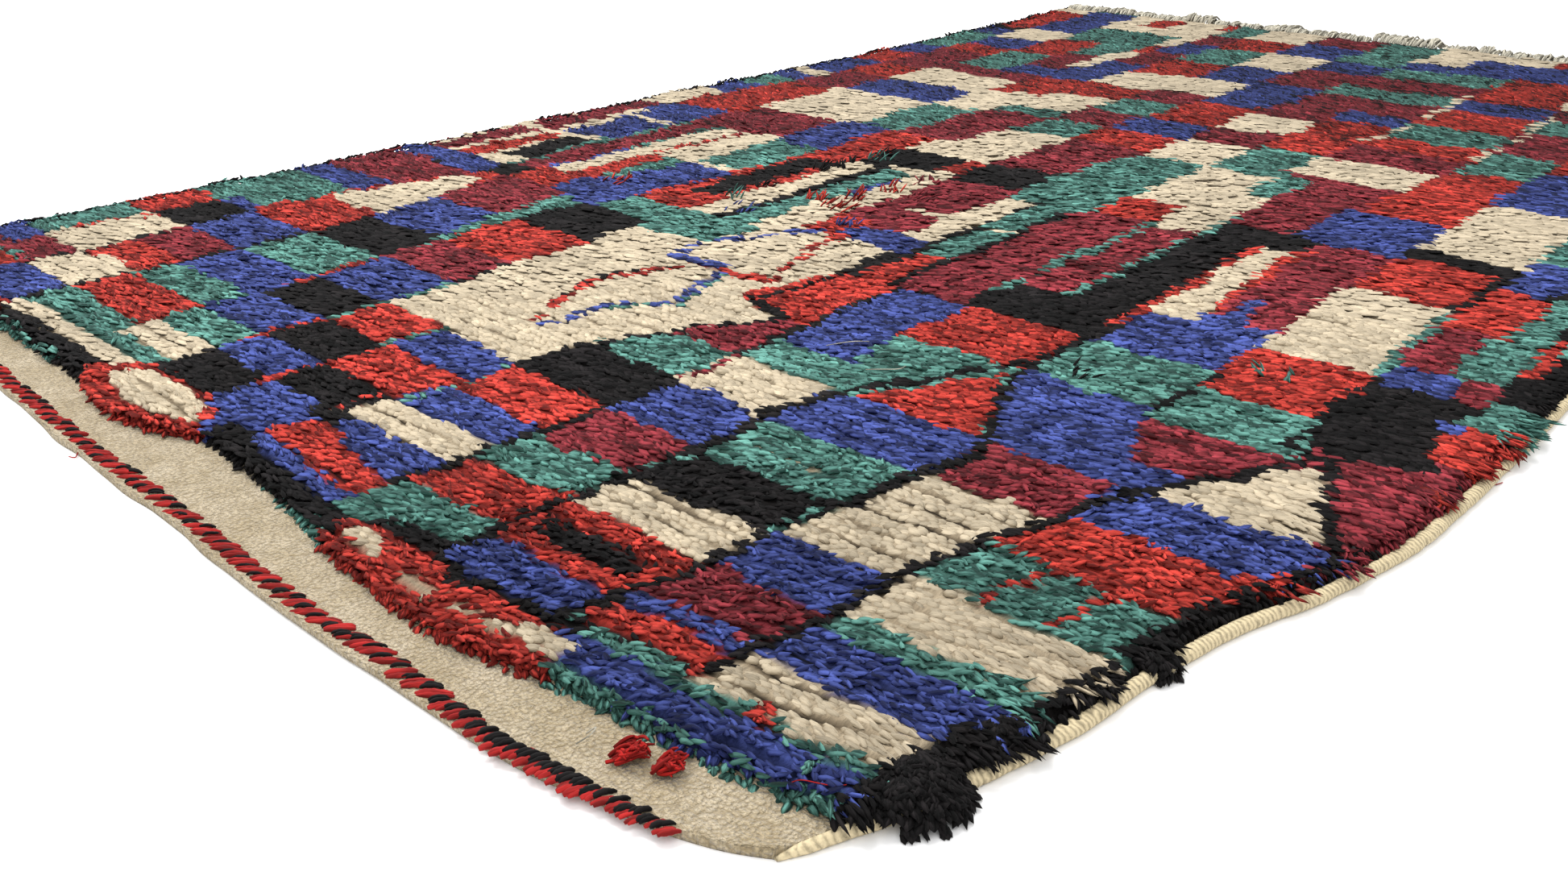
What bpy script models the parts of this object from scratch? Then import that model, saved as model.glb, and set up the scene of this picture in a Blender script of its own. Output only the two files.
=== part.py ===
"""A hand-knotted Azilal wool rug lying flat on a floor.

The flat-woven ground carries rows of shaggy pile. One short end is a bare band of flat weave with a
red and black twined line and two small red tufts. The long sides are bound by wrapped cords, and the
other short end has a fringe of knotted warp ends. Sizes are in metres, +Y runs along the rug from the
bare end to the fringe, +X runs across it and +Z points up. The floor is z = 0.
"""

import math

import bmesh
import bpy
from mathutils import Vector

# The outline. Along is the distance from the bare end; across is measured from a line down the middle.
RUG_LENGTH = 2.60
SIDES = (
    # along, left, right: the outer faces of the two side cords
    (0.00, -0.760, 0.645),
    (0.06, -0.767, 0.668),
    (0.18, -0.770, 0.695),
    (0.27, -0.767, 0.704),
    (0.35, -0.764, 0.718),
    (0.42, -0.761, 0.740),
    (0.55, -0.757, 0.762),
    (0.90, -0.754, 0.765),
    (1.60, -0.755, 0.762),
    (2.10, -0.764, 0.765),
    (2.45, -0.785, 0.767),
    (2.60, -0.797, 0.770),
)
BARE_EDGE = (
    # across, setback: how far the bare end's edge lies from its mean line
    (-0.80, 0.028),
    (-0.50, 0.008),
    (-0.29, -0.006),
    (-0.16, -0.018),
    (-0.05, -0.025),
    (0.10, -0.032),
    (0.22, -0.041),
    (0.33, -0.043),
    (0.47, -0.041),
    (0.56, -0.028),
    (0.61, -0.014),
    (0.65, 0.008),
)
BARE_CURVE_REACH = 0.45
FAR_EDGE_WAVE = 0.006
FAR_EDGE_WAVES = 2.2
FAR_EDGE_START = 0.8

# Heights of the cloth
GROUND = 0.0035
BARE_BAND = 0.064
BARE_LIFT = 0.0022
BARE_LIFT_REACH = 0.040
BARE_LIFT_INNER = 0.4
BARE_WAVES = 9.5
BARE_WAVE_START = 0.4
GAP = 0.0003

# The pile: rows of knots across the rug, each a ridge between two creases
ROW_PITCH = 0.021
CREST = 0.0175
CREASE_DEPTH = 0.0045
LUMP = 0.0016
LUMP_WAVES = (
    # height as a share of LUMP, waves across, waves along, seed
    (1.0, 17.0, 9.0, 1.0),
    (0.6, -11.0, 31.0, 5.0),
)
SHAGGY_EXTRA = 0.0045
SHAGGY_MIDDLE = (0.10, 1.15)
SHAGGY_REACH = (0.50, 0.42)
RIM_DROP = 0.0025
RIM_INSET = 0.002
END_WALL_SLOPE = 0.004
END_WALL_FOOT = 0.0005
CREST_PLACE = 0.42
COLUMNS = 8
LOCKS_PER_COLUMN = 3

# Locks of pile at the rim
SIDE_LOCK_EVERY = 4
SIDE_LOCK_ROOT = 0.0112
SIDE_LOCK_REACH = (
    # along, left, right: the pile leans to the right, so its locks hang over that side cord
    (0.05, 0.012, 0.040),
    (0.11, 0.012, 0.036),
    (0.17, 0.012, 0.017),
    (0.42, 0.012, 0.017),
    (0.52, 0.013, 0.026),
    (1.00, 0.013, 0.029),
    (2.60, 0.013, 0.026),
)
SIDE_LOCK_SPREAD = (0.82, 1.18)
SIDE_LOCK_LONGEST = 0.045
SIDE_LOCK_TIP = 0.0040
SIDE_LOCK_DROP = 0.0030
SIDE_LOCK_LEAN = 0.020
END_LOCK_ROOT = GROUND + 0.0018
END_LOCK_TIP = GROUND + 0.0025
FAR_LOCK_ROOT = 0.0095
END_LOCK_WIDTH = 0.012
END_LOCK_REACH = (0.008, 0.016)
FAR_LOCK_REACH = (0.006, 0.011)
END_LOCK_DROP = 0.0006
END_LOCK_LEAN = 0.010
LOCK_WAIST = 0.6
LOCK_TAPER = 0.86

# The cords along the sides
SELVEDGE_WIDTH = 0.0095
SELVEDGE_HEIGHT = 0.0090
SELVEDGE_FLAT = 0.62
SELVEDGE_STEP = 0.026
SELVEDGE_START = 0.012

# The twined line on the bare band
TWINING_SETBACKS = (0.0115, 0.0090)
TWINING_WIDTH = 0.0145
TWINING_HEIGHT = 0.0042
TWINING_WAIST = 0.72
TWINING_NARROWING = 0.14
TWINING_FLAT = 0.62
TWINING_PLY = 0.0112
TWINING_SLANT = 0.0035
TWINING_ENDS = (-0.715, 0.585)

# The fringe at the far end
FRINGE_STRIP = 0.010
FRINGE_STRIP_HEIGHT = 0.0050
FRINGE_LOCKS = 40
FRINGE_LOCK_PLACE = (0.22, 0.52)
FRINGE_LOCK_WIDTH = (0.010, 0.016)
FRINGE_LENGTH = (0.052, 0.104)
FRINGE_KNOT_HEIGHT = (0.009, 0.026)
FRINGE_KNOT_WIDTH = 1.4
FRINGE_KNOT_RARITY = 3
FRINGE_KNOT_ENDS = (0.16, 0.36)
FRINGE_KNOT_TAPER = 0.9
FRINGE_TAIL_START = 0.52
FRINGE_TAIL_WIDTH = 0.60
FRINGE_TAIL_HEIGHT = 0.0065
FRINGE_TIP_WIDTH = 0.45
FRINGE_TIP_HEIGHT = 0.0030
FRINGE_DRIFT = 0.016
FRINGE_DRIFT_WAVES = 0.7

# The red tufts on the bare band
TUFTS = (
    # across, along, length, width, height
    (0.527, 0.034, 0.027, 0.020, 0.012),
    (0.551, 0.036, 0.019, 0.018, 0.011),
)
TUFT_LOBES = 7
TUFT_LEVELS = (
    # share of the height, share of the width
    (0.00, 0.72),
    (0.42, 1.00),
    (0.85, 0.66),
)
TUFT_DENT = 0.68
TUFT_DENT_HEIGHT = 0.86

# Colours of the yarns as linear values
CREAM = (0.60, 0.51, 0.36)
PILE_RED = (0.50, 0.020, 0.014)
TWINING_RED = (0.26, 0.018, 0.018)


def clear_scene():
    for obj in list(bpy.data.objects):
        bpy.data.objects.remove(obj)


def wool(name, colour, roughness):
    material = bpy.data.materials.new(name)
    material.use_nodes = True
    shader = material.node_tree.nodes["Principled BSDF"]
    shader.inputs["Base Color"].default_value = (*colour, 1.0)
    shader.inputs["Roughness"].default_value = roughness
    shader.inputs["Metallic"].default_value = 0.0
    material.diffuse_color = (*colour, 1.0)
    return material


def read_curve(rows, at, column=1):
    """The value at a place of a smooth curve through a table whose first column is the place."""
    at = min(max(at, rows[0][0]), rows[-1][0])
    last = len(rows) - 1
    k = 0
    while k < last - 1 and at > rows[k + 1][0]:
        k += 1
    x0, y0 = rows[k][0], rows[k][column]
    x1, y1 = rows[k + 1][0], rows[k + 1][column]
    step = x1 - x0

    def slope(i):
        before = max(i - 1, 0)
        after = min(i + 1, last)
        return (rows[after][column] - rows[before][column]) / (rows[after][0] - rows[before][0])

    u = (at - x0) / step
    return (
        (2 * u**3 - 3 * u**2 + 1) * y0
        + (u**3 - 2 * u**2 + u) * slope(k) * step
        + (3 * u**2 - 2 * u**3) * y1
        + (u**3 - u**2) * slope(k + 1) * step
    )


def uneven(place, seed):
    """A smooth value between about -1 and 1 that never quite repeats."""
    return (
        math.sin(place * 1.00 + seed * 2.1)
        + math.sin(place * 2.37 + seed * 4.7)
        + math.sin(place * 5.13 + seed * 1.3)
    ) / 2.4


def share(number, seed):
    """A fixed value between 0 and 1 for the piece with this number."""
    value = math.sin(number * 12.9898 + seed * 78.233) * 43758.5453
    return value - math.floor(value)


def between(limits, part):
    return limits[0] + (limits[1] - limits[0]) * part


def cord_face(along, side):
    """The outer face of a side cord: column 1 of the table is the left side and 2 the right."""
    return read_curve(SIDES, along, 2 if side > 0 else 1)


def ground_side(along, side):
    return cord_face(along, side) - side * (SELVEDGE_WIDTH + GAP)


def cloth_point(fraction, along):
    """Where the cloth lies in plan, from its fraction of the width and the distance along it."""
    left = ground_side(along, -1)
    right = ground_side(along, 1)
    across = left + (right - left) * fraction
    fade = max(0.0, 1.0 - along / BARE_CURVE_REACH)
    bow = read_curve(BARE_EDGE, across) * fade * fade
    grown = max(0.0, along / RUG_LENGTH - FAR_EDGE_START) / (1.0 - FAR_EDGE_START)
    far = FAR_EDGE_WAVE * uneven(across * FAR_EDGE_WAVES, 3.0) * grown
    return across, along + bow + far


def band_lift(fraction):
    """How far the bare end's edge stands off the floor, in two soft waves."""
    wave = math.sin(fraction * BARE_WAVES + BARE_WAVE_START)
    return BARE_LIFT * max(0.0, wave) * math.sin(math.pi * fraction)


def pile_height(fraction, along, crest):
    across, forward = cloth_point(fraction, along)
    dx = (across - SHAGGY_MIDDLE[0]) / SHAGGY_REACH[0]
    dy = (forward - SHAGGY_MIDDLE[1]) / SHAGGY_REACH[1]
    height = CREST + SHAGGY_EXTRA * math.exp(-dx * dx - dy * dy)
    for part, wide, deep, seed in LUMP_WAVES:
        height += LUMP * part * uneven(across * wide + forward * deep, seed)
    if fraction in (0.0, 1.0):
        height -= RIM_DROP
    return height if crest else height - CREASE_DEPTH


def pile_rows():
    """(along, is a crest) for every ridge and crease between the bare band and the far end."""
    start = BARE_BAND + END_WALL_SLOPE
    count = int((RUG_LENGTH - END_WALL_SLOPE * 2 - start) / ROW_PITCH)
    pitch = (RUG_LENGTH - END_WALL_SLOPE * 2 - start) / count
    rows = []
    for k in range(count):
        rows.append((start + (k + CREST_PLACE) * pitch, True))
        if k < count - 1:
            rows.append((start + (k + 1) * pitch, False))
    return rows


def end_fractions():
    """Fractions of the width along a short end, where each coarse column also holds its locks' sides."""
    column = 1.0 / COLUMNS
    lock = END_LOCK_WIDTH / (ground_side(0, 1) - ground_side(0, -1))
    fractions = []
    for i in range(COLUMNS):
        for k in range(LOCKS_PER_COLUMN):
            start = (i + k / LOCKS_PER_COLUMN) * column
            fractions += [start, start + lock]
    return fractions + [1.0]


def along_edge(fractions, fraction, value):
    """A value at any fraction of an end, straight between the rug's own points there."""
    k = max(i for i in range(len(fractions) - 1) if fractions[i] <= fraction)
    part = (fraction - fractions[k]) / (fractions[k + 1] - fractions[k])
    return value(fractions[k]) * (1 - part) + value(fractions[k + 1]) * part


def band_top(fractions, fraction, along):
    """The top of the bare band at a place, between its outer edge and the foot of the pile."""
    lift = along_edge(fractions, fraction, band_lift)
    if along < BARE_LIFT_REACH:
        return GROUND + lift * (1 - (1 - BARE_LIFT_INNER) * along / BARE_LIFT_REACH)
    beyond = (along - BARE_LIFT_REACH) / (BARE_BAND - BARE_LIFT_REACH)
    return GROUND + lift * BARE_LIFT_INNER * (1 - min(beyond, 1.0))


class ClothMesh:
    """The rug's mesh, with points placed by their fraction of the width and distance along."""

    def __init__(self):
        self.bm = bmesh.new()

    def vert(self, fraction, along, height, inset=0.0):
        across, forward = cloth_point(fraction, along)
        if fraction == 0.0:
            across += inset
        elif fraction == 1.0:
            across -= inset
        return self.bm.verts.new((across, forward, height))

    def face(self, *corners):
        self.bm.faces.new(corners)

    def ribbon(self, near, far):
        """Faces between two rows with as many points, the far row further along the rug."""
        for a, b, c, d in zip(near, near[1:], far[1:], far):
            self.face(a, b, c, d)

    def fan_strip(self, fine, coarse, fine_is_near):
        """Faces between a row with every lock side and one with a point for each column only."""
        many = LOCKS_PER_COLUMN * 2
        for i in range(COLUMNS):
            part = fine[i * many : (i + 1) * many + 1]
            left, right = coarse[i], coarse[i + 1]
            half = many // 2
            for k in range(many):
                apex = left if k < half else right
                if fine_is_near:
                    self.face(part[k], part[k + 1], apex)
                else:
                    self.face(part[k + 1], part[k], apex)
            if fine_is_near:
                self.face(part[half], right, left)
            else:
                self.face(right, part[half], left)


def lock_on(cloth, quad, outward, reach, lean, drop, tip_height):
    """Draws a face of the rim out into a tapering lock with four sides."""
    middle = sum((v.co for v in quad[1:]), quad[0].co.copy()) / 4
    run = Vector((outward[0] * reach, outward[1] * reach, 0.0))
    run += Vector((abs(outward[1]) * lean, abs(outward[0]) * lean, 0.0))
    waist = []
    for v in quad:
        place = middle + (v.co - middle) * LOCK_TAPER + run * LOCK_WAIST
        place.z = v.co.z - drop
        waist.append(cloth.bm.verts.new(place))
    tip = cloth.bm.verts.new((middle.x + run.x, middle.y + run.y, tip_height))
    for k in range(4):
        after = (k + 1) % 4
        cloth.face(quad[k], quad[after], waist[after], waist[k])
        cloth.face(waist[k], waist[after], tip)


def build_rug():
    cloth = ClothMesh()
    fine = end_fractions()
    coarse = [i / COLUMNS for i in range(COLUMNS + 1)]
    rows = pile_rows()
    far_wall = RUG_LENGTH - END_WALL_SLOPE
    front = BARE_BAND + END_WALL_SLOPE

    # The bare band, and the walls where the pile begins and ends
    edge = [cloth.vert(f, 0.0, GROUND + band_lift(f)) for f in fine]
    band = [cloth.vert(f, BARE_LIFT_REACH, GROUND + band_lift(f) * BARE_LIFT_INNER) for f in fine]
    foot = [cloth.vert(f, BARE_BAND, GROUND) for f in fine]
    sill = [cloth.vert(f, BARE_BAND + END_WALL_FOOT, END_LOCK_ROOT) for f in fine]
    brow = [cloth.vert(f, front, pile_height(f, front, False), RIM_INSET) for f in fine]
    back_brow = [
        cloth.vert(f, far_wall - END_WALL_SLOPE, pile_height(f, far_wall, False), RIM_INSET)
        for f in fine
    ]
    back_sill = [cloth.vert(f, far_wall - END_WALL_FOOT, FAR_LOCK_ROOT) for f in fine]
    back_foot = [cloth.vert(f, far_wall, GROUND) for f in fine]
    far_edge = [cloth.vert(f, RUG_LENGTH, GROUND) for f in fine]

    # The ridges and creases of the pile
    pile = [
        [cloth.vert(f, along, pile_height(f, along, crest), RIM_INSET) for f in coarse]
        for along, crest in rows
    ]

    cloth.ribbon(edge, band)
    cloth.ribbon(band, foot)
    cloth.ribbon(foot, sill)
    cloth.fan_strip(brow, pile[0], True)
    for near, far in zip(pile, pile[1:]):
        cloth.ribbon(near, far)
    cloth.fan_strip(back_brow, pile[-1], False)
    cloth.ribbon(back_sill, back_foot)
    cloth.ribbon(back_foot, far_edge)

    # The end walls: every other face is the root of a lock
    for k in range(len(fine) - 1):
        is_lock = k % 2 == 0 and 0 < k < len(fine) - 2
        quad = (sill[k], sill[k + 1], brow[k + 1], brow[k])
        back = (back_brow[k], back_brow[k + 1], back_sill[k + 1], back_sill[k])
        if is_lock:
            reach = between(END_LOCK_REACH, share(k, 1.0))
            lean = END_LOCK_LEAN * (share(k, 2.0) - 0.5)
            lock_on(cloth, quad, (0, -1), reach, lean, END_LOCK_DROP, END_LOCK_TIP)
            reach = between(FAR_LOCK_REACH, share(k, 4.0))
            lock_on(cloth, back, (0, 1), reach, lean, END_LOCK_DROP, FAR_LOCK_ROOT)
        else:
            cloth.face(*quad)
            cloth.face(*back)

    # The underside is flat, apart from the edge of the bare band where it lifts
    under_edge = [cloth.vert(f, 0.0, band_lift(f)) for f in fine]
    under_band = [cloth.vert(f, BARE_LIFT_REACH, 0.0) for f in fine]
    under_far = [cloth.vert(f, RUG_LENGTH, 0.0) for f in fine]
    cloth.ribbon(under_band, under_edge)
    cloth.ribbon(under_edge, edge)
    cloth.ribbon(far_edge, under_far)

    # The long sides: a lower strip behind the side cord, and above it the rim with its locks
    under = {}
    for side, end in ((-1, 0), (1, -1)):
        fraction = 0.0 if side < 0 else 1.0
        low = [cloth.vert(fraction, along, 0.0) for along, _ in rows]
        middle = [cloth.vert(fraction, along, SIDE_LOCK_ROOT) for along, _ in rows]
        top = [row[end] for row in pile]
        under[side] = low

        def wall(*corners):
            cloth.face(*(corners if side > 0 else corners[::-1]))

        wall(under_edge[end], under_band[end], band[end], edge[end])
        wall(under_band[end], low[0], band[end])
        wall(low[0], foot[end], band[end])
        wall(low[0], middle[0], foot[end])
        wall(middle[0], sill[end], foot[end])
        wall(middle[0], brow[end], sill[end])
        wall(middle[0], top[0], brow[end])
        for k in range(len(rows) - 1):
            wall(low[k], low[k + 1], middle[k + 1], middle[k])
            corners = (middle[k], middle[k + 1], top[k + 1], top[k])
            if k % SIDE_LOCK_EVERY == 1 and k < len(rows) - 3:
                reach = read_curve(SIDE_LOCK_REACH, rows[k][0], 2 if side > 0 else 1)
                reach *= between(SIDE_LOCK_SPREAD, share(k, 3.0 + side))
                droop = (reach / SIDE_LOCK_LONGEST) ** 2
                lean = SIDE_LOCK_LEAN * (share(k, 6.0 + side) - 0.5)
                quad = corners if side > 0 else corners[::-1]
                tip = between((SIDE_LOCK_ROOT, SIDE_LOCK_TIP), droop)
                lock_on(cloth, quad, (side, 0), reach, lean, SIDE_LOCK_DROP * droop, tip)
            else:
                wall(*corners)
        wall(middle[-1], back_brow[end], top[-1])
        wall(middle[-1], back_sill[end], back_brow[end])
        wall(middle[-1], low[-1], back_sill[end])
        wall(low[-1], back_foot[end], back_sill[end])
        wall(low[-1], under_far[end], back_foot[end])
        wall(under_far[end], far_edge[end], back_foot[end])

    # The flat underside, from the bare end to the far end
    left, right = under[-1], under[1]
    cloth.face(left[0], right[0], *under_band[::-1])
    for k in range(len(rows) - 1):
        cloth.face(left[k], left[k + 1], right[k + 1], right[k])
    cloth.face(left[-1], *under_far, right[-1])
    return cloth.bm


def close_tube(bm, rings):
    """Joins rings of points, in order along a cord, and closes the two ends."""
    for near, far in zip(rings, rings[1:]):
        for k in range(len(near)):
            after = (k + 1) % len(near)
            bm.faces.new((near[k], near[after], far[after], far[k]))
    bm.faces.new(rings[0][::-1])
    bm.faces.new(rings[-1])


def build_selvedge(side):
    """A wrapped cord with a flat underside, which follows one long side on the floor."""
    half = SELVEDGE_WIDTH / 2
    flat = half * SELVEDGE_FLAT
    section = (
        (-flat, 0.0),
        (flat, 0.0),
        (half, SELVEDGE_HEIGHT * 0.5),
        (flat, SELVEDGE_HEIGHT),
        (-flat, SELVEDGE_HEIGHT),
        (-half, SELVEDGE_HEIGHT * 0.5),
    )
    bm = bmesh.new()
    fraction = 0.0 if side < 0 else 1.0
    steps = round((RUG_LENGTH - SELVEDGE_START) / SELVEDGE_STEP)
    rings = []
    for k in range(steps + 1):
        along = between((SELVEDGE_START, RUG_LENGTH), k / steps)
        across, forward = cloth_point(fraction, along)
        middle = across + side * (GAP + half)
        rings.append([bm.verts.new((middle + dx, forward, dz)) for dx, dz in section])
    close_tube(bm, rings)
    return bm


def build_twining():
    """A twined line of slanted lumps, flat below, which lies on the bare band."""
    fine = end_fractions()
    left, right = ground_side(TWINING_SETBACKS[1], -1), ground_side(TWINING_SETBACKS[1], 1)
    bm = bmesh.new()
    start, end = TWINING_ENDS
    plies = round((end - start) / TWINING_PLY)
    rings = []
    for k in range(plies * 2 + 1):
        across = between((start, end), k / (plies * 2))
        size = TWINING_WAIST if k % 2 == 0 else 1.0
        half = TWINING_WIDTH / 2 * (1.0 - TWINING_NARROWING * (1.0 - size))
        ring = []
        for step, high in ((1, False), (-1, False), (-TWINING_FLAT, True), (TWINING_FLAT, True)):
            x = across + TWINING_SLANT * step
            fraction = (x - left) / (right - left)
            setback = between(TWINING_SETBACKS, fraction)
            forward = cloth_point(fraction, setback)[1] + step * half
            z = band_top(fine, fraction, setback + step * half) + GAP
            if high:
                z += TWINING_HEIGHT * size
            ring.append(bm.verts.new((x, forward, z)))
        rings.append(ring)
    close_tube(bm, rings)
    return bm


def build_fringe():
    """A narrow strip beyond the far edge, with a knotted lock for each group of warp ends."""
    bm = bmesh.new()
    strip_end = GAP + FRINGE_STRIP
    far_width = ground_side(RUG_LENGTH, 1) - ground_side(RUG_LENGTH, -1)
    fractions = []
    for k in range(FRINGE_LOCKS):
        place = (k + between(FRINGE_LOCK_PLACE, share(k, 11.0))) / FRINGE_LOCKS
        width = between(FRINGE_LOCK_WIDTH, share(k, 12.0)) / far_width
        fractions += [place, place + width]
    fractions = [0.0] + fractions + [1.0]
    edge = end_fractions()

    def row(beyond, height):
        verts = []
        for fraction in fractions:
            across = cloth_point(fraction, RUG_LENGTH)[0]
            forward = along_edge(edge, fraction, lambda f: cloth_point(f, RUG_LENGTH)[1])
            verts.append(bm.verts.new((across, forward + beyond, height)))
        return verts

    near_low = row(GAP, 0.0)
    near_high = row(GAP, FRINGE_STRIP_HEIGHT)
    far_high = row(strip_end, FRINGE_STRIP_HEIGHT)
    far_low = row(strip_end, 0.0)
    last = len(fractions) - 1
    for k in range(last):
        bm.faces.new((near_low[k], near_low[k + 1], near_high[k + 1], near_high[k]))
        bm.faces.new((near_high[k], near_high[k + 1], far_high[k + 1], far_high[k]))
        bm.faces.new((far_low[k], far_low[k + 1], near_low[k + 1], near_low[k]))
        if k % 2 == 0:
            bm.faces.new((far_high[k], far_high[k + 1], far_low[k + 1], far_low[k]))
            continue
        number = k // 2
        length = between(FRINGE_LENGTH, share(number, 13.0))
        drift = FRINGE_DRIFT * uneven(number * FRINGE_DRIFT_WAVES, 2.0)
        root = (far_high[k], far_high[k + 1], far_low[k + 1], far_low[k])
        knot = share(number, 15.0) ** FRINGE_KNOT_RARITY
        high = between(FRINGE_KNOT_HEIGHT, knot)
        wide = 1.0 + (FRINGE_KNOT_WIDTH - 1.0) * knot
        middle = (root[0].co.x + root[1].co.x) / 2
        half = (root[1].co.x - root[0].co.x) / 2
        stations = (
            # share of the length, height, share of the root's width
            (FRINGE_KNOT_ENDS[0], high, wide),
            (FRINGE_KNOT_ENDS[1], high * FRINGE_KNOT_TAPER, wide * FRINGE_KNOT_TAPER),
            (FRINGE_TAIL_START, FRINGE_TAIL_HEIGHT, FRINGE_TAIL_WIDTH),
            (1.00, FRINGE_TIP_HEIGHT, FRINGE_TIP_WIDTH),
        )
        before = root
        for reach, high, wide in stations:
            x = middle + drift * reach * reach
            y = root[0].co.y + length * reach
            wide *= half
            ring = (
                bm.verts.new((x - wide, y, high)),
                bm.verts.new((x + wide, y, high)),
                bm.verts.new((x + wide, y, 0.0)),
                bm.verts.new((x - wide, y, 0.0)),
            )
            for i in range(4):
                after = (i + 1) % 4
                bm.faces.new((before[i], before[after], ring[after], ring[i]))
            before = ring
        bm.faces.new(before)
    bm.faces.new((near_low[0], near_high[0], far_high[0], far_low[0]))
    bm.faces.new((near_low[last], far_low[last], far_high[last], near_high[last]))
    return bm


def build_tuft(across, along, length, width, height):
    """A small bunch of yarn ends: a lobed heap with a flat underside."""
    bm = bmesh.new()
    left, right = ground_side(along, -1), ground_side(along, 1)
    fraction = (across - left) / (right - left)
    middle_x, middle_y = cloth_point(fraction, along)
    base = GAP + max(
        band_top(end_fractions(), fraction + x * length / (right - left), along + y * width)
        for x in (-0.5, 0.5)
        for y in (-0.5, 0.5)
    )
    rings = []
    for level, size in TUFT_LEVELS:
        ring = []
        for k in range(TUFT_LOBES * 2):
            angle = math.pi * k / TUFT_LOBES
            dented = k % 2 == 1
            reach = size * (TUFT_DENT if dented else 1.0) / 2
            z = base + height * level * (TUFT_DENT_HEIGHT if dented else 1.0)
            x = middle_x + math.cos(angle) * length * reach
            y = middle_y + math.sin(angle) * width * reach
            ring.append(bm.verts.new((x, y, z)))
        rings.append(ring)
    for near, far in zip(rings, rings[1:]):
        for k in range(len(near)):
            after = (k + 1) % len(near)
            bm.faces.new((near[k], near[after], far[after], far[k]))
    bm.faces.new(rings[0][::-1])
    top = bm.verts.new((middle_x, middle_y, base + height))
    for k in range(len(rings[-1])):
        after = (k + 1) % len(rings[-1])
        bm.faces.new((rings[-1][k], rings[-1][after], top))
    return bm


def add_object(name, bm, material, parent):
    bmesh.ops.recalc_face_normals(bm, faces=bm.faces)
    mesh = bpy.data.meshes.new(name)
    bm.to_mesh(mesh)
    bm.free()
    mesh.materials.append(material)
    obj = bpy.data.objects.new(name, mesh)
    obj.parent = parent
    bpy.context.scene.collection.objects.link(obj)
    return obj


def stand_on_origin(objects):
    """Moves the meshes so that the middle of the rug's underside is the origin."""
    points = [v.co for obj in objects for v in obj.data.vertices]
    middle_x = (min(p.x for p in points) + max(p.x for p in points)) / 2
    middle_y = (min(p.y for p in points) + max(p.y for p in points)) / 2
    for obj in objects:
        for v in obj.data.vertices:
            v.co.x -= middle_x
            v.co.y -= middle_y
        obj.data.update()


def main():
    clear_scene()
    cream = wool("cream_wool", CREAM, 0.9)
    red = wool("red_pile", PILE_RED, 0.95)
    dark_red = wool("twining_wool", TWINING_RED, 0.9)
    rug_root = bpy.data.objects.new("rug_root", None)
    bpy.context.scene.collection.objects.link(rug_root)
    objects = [
        add_object("rug", build_rug(), red, rug_root),
        add_object("end_twining", build_twining(), dark_red, rug_root),
        add_object("selvedge_left", build_selvedge(-1), cream, rug_root),
        add_object("selvedge_right", build_selvedge(1), cream, rug_root),
        add_object("end_fringe", build_fringe(), cream, rug_root),
    ]
    for number, sizes in enumerate(TUFTS, start=1):
        objects.append(add_object(f"end_tuft_{number}", build_tuft(*sizes), red, rug_root))
    stand_on_origin(objects)


main()
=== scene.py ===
"""Dresses a hand-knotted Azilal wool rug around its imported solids, and lights it for a picture.

Sizes are in metres, +Y runs along the rug from its bare end to its fringe, +X runs across it and +Z points
up. Across and forward are the rug's own measures, from a line down its middle and from its bare end.
"""

import functools
import math
import typing

import bpy
import numpy as np
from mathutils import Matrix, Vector


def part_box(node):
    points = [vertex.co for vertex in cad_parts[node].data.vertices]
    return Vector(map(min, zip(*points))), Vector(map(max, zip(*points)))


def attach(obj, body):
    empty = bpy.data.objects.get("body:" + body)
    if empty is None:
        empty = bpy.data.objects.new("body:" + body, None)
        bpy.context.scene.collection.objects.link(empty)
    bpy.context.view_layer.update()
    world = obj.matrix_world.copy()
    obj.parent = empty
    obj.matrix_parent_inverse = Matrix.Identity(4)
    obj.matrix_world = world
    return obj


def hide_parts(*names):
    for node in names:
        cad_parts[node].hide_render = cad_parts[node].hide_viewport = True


bl_info = {
    "name": "Azilal rug",
    "version": (1, 0, 0),
    "blender": (4, 5, 0),
    "location": "3D View > Sidebar > Rug",
    "description": "Weaves, knots, binds and lights a hand-knotted wool rug with a patchwork of blocks",
    "category": "Object",
}

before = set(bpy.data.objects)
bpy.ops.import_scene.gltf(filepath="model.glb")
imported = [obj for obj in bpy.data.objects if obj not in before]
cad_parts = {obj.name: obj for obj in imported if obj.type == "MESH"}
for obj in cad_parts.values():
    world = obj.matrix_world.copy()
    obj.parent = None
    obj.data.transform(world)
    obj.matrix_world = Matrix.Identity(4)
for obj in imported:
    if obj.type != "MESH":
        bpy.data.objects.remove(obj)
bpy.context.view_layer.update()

# The outline, as in the solids
RUG_LENGTH = 2.60
SIDES = (
    # along, left, right: the outer faces of the two side cords
    (0.00, -0.760, 0.645),
    (0.06, -0.767, 0.668),
    (0.18, -0.770, 0.695),
    (0.27, -0.767, 0.704),
    (0.35, -0.764, 0.718),
    (0.42, -0.761, 0.740),
    (0.55, -0.757, 0.762),
    (0.90, -0.754, 0.765),
    (1.60, -0.755, 0.762),
    (2.10, -0.764, 0.765),
    (2.45, -0.785, 0.767),
    (2.60, -0.797, 0.770),
)
BARE_EDGE = (
    # across, setback: how far the bare end's edge lies from its mean line
    (-0.80, 0.028),
    (-0.50, 0.008),
    (-0.29, -0.006),
    (-0.16, -0.018),
    (-0.05, -0.025),
    (0.10, -0.032),
    (0.22, -0.041),
    (0.33, -0.043),
    (0.47, -0.041),
    (0.56, -0.028),
    (0.61, -0.014),
    (0.65, 0.008),
)
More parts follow.
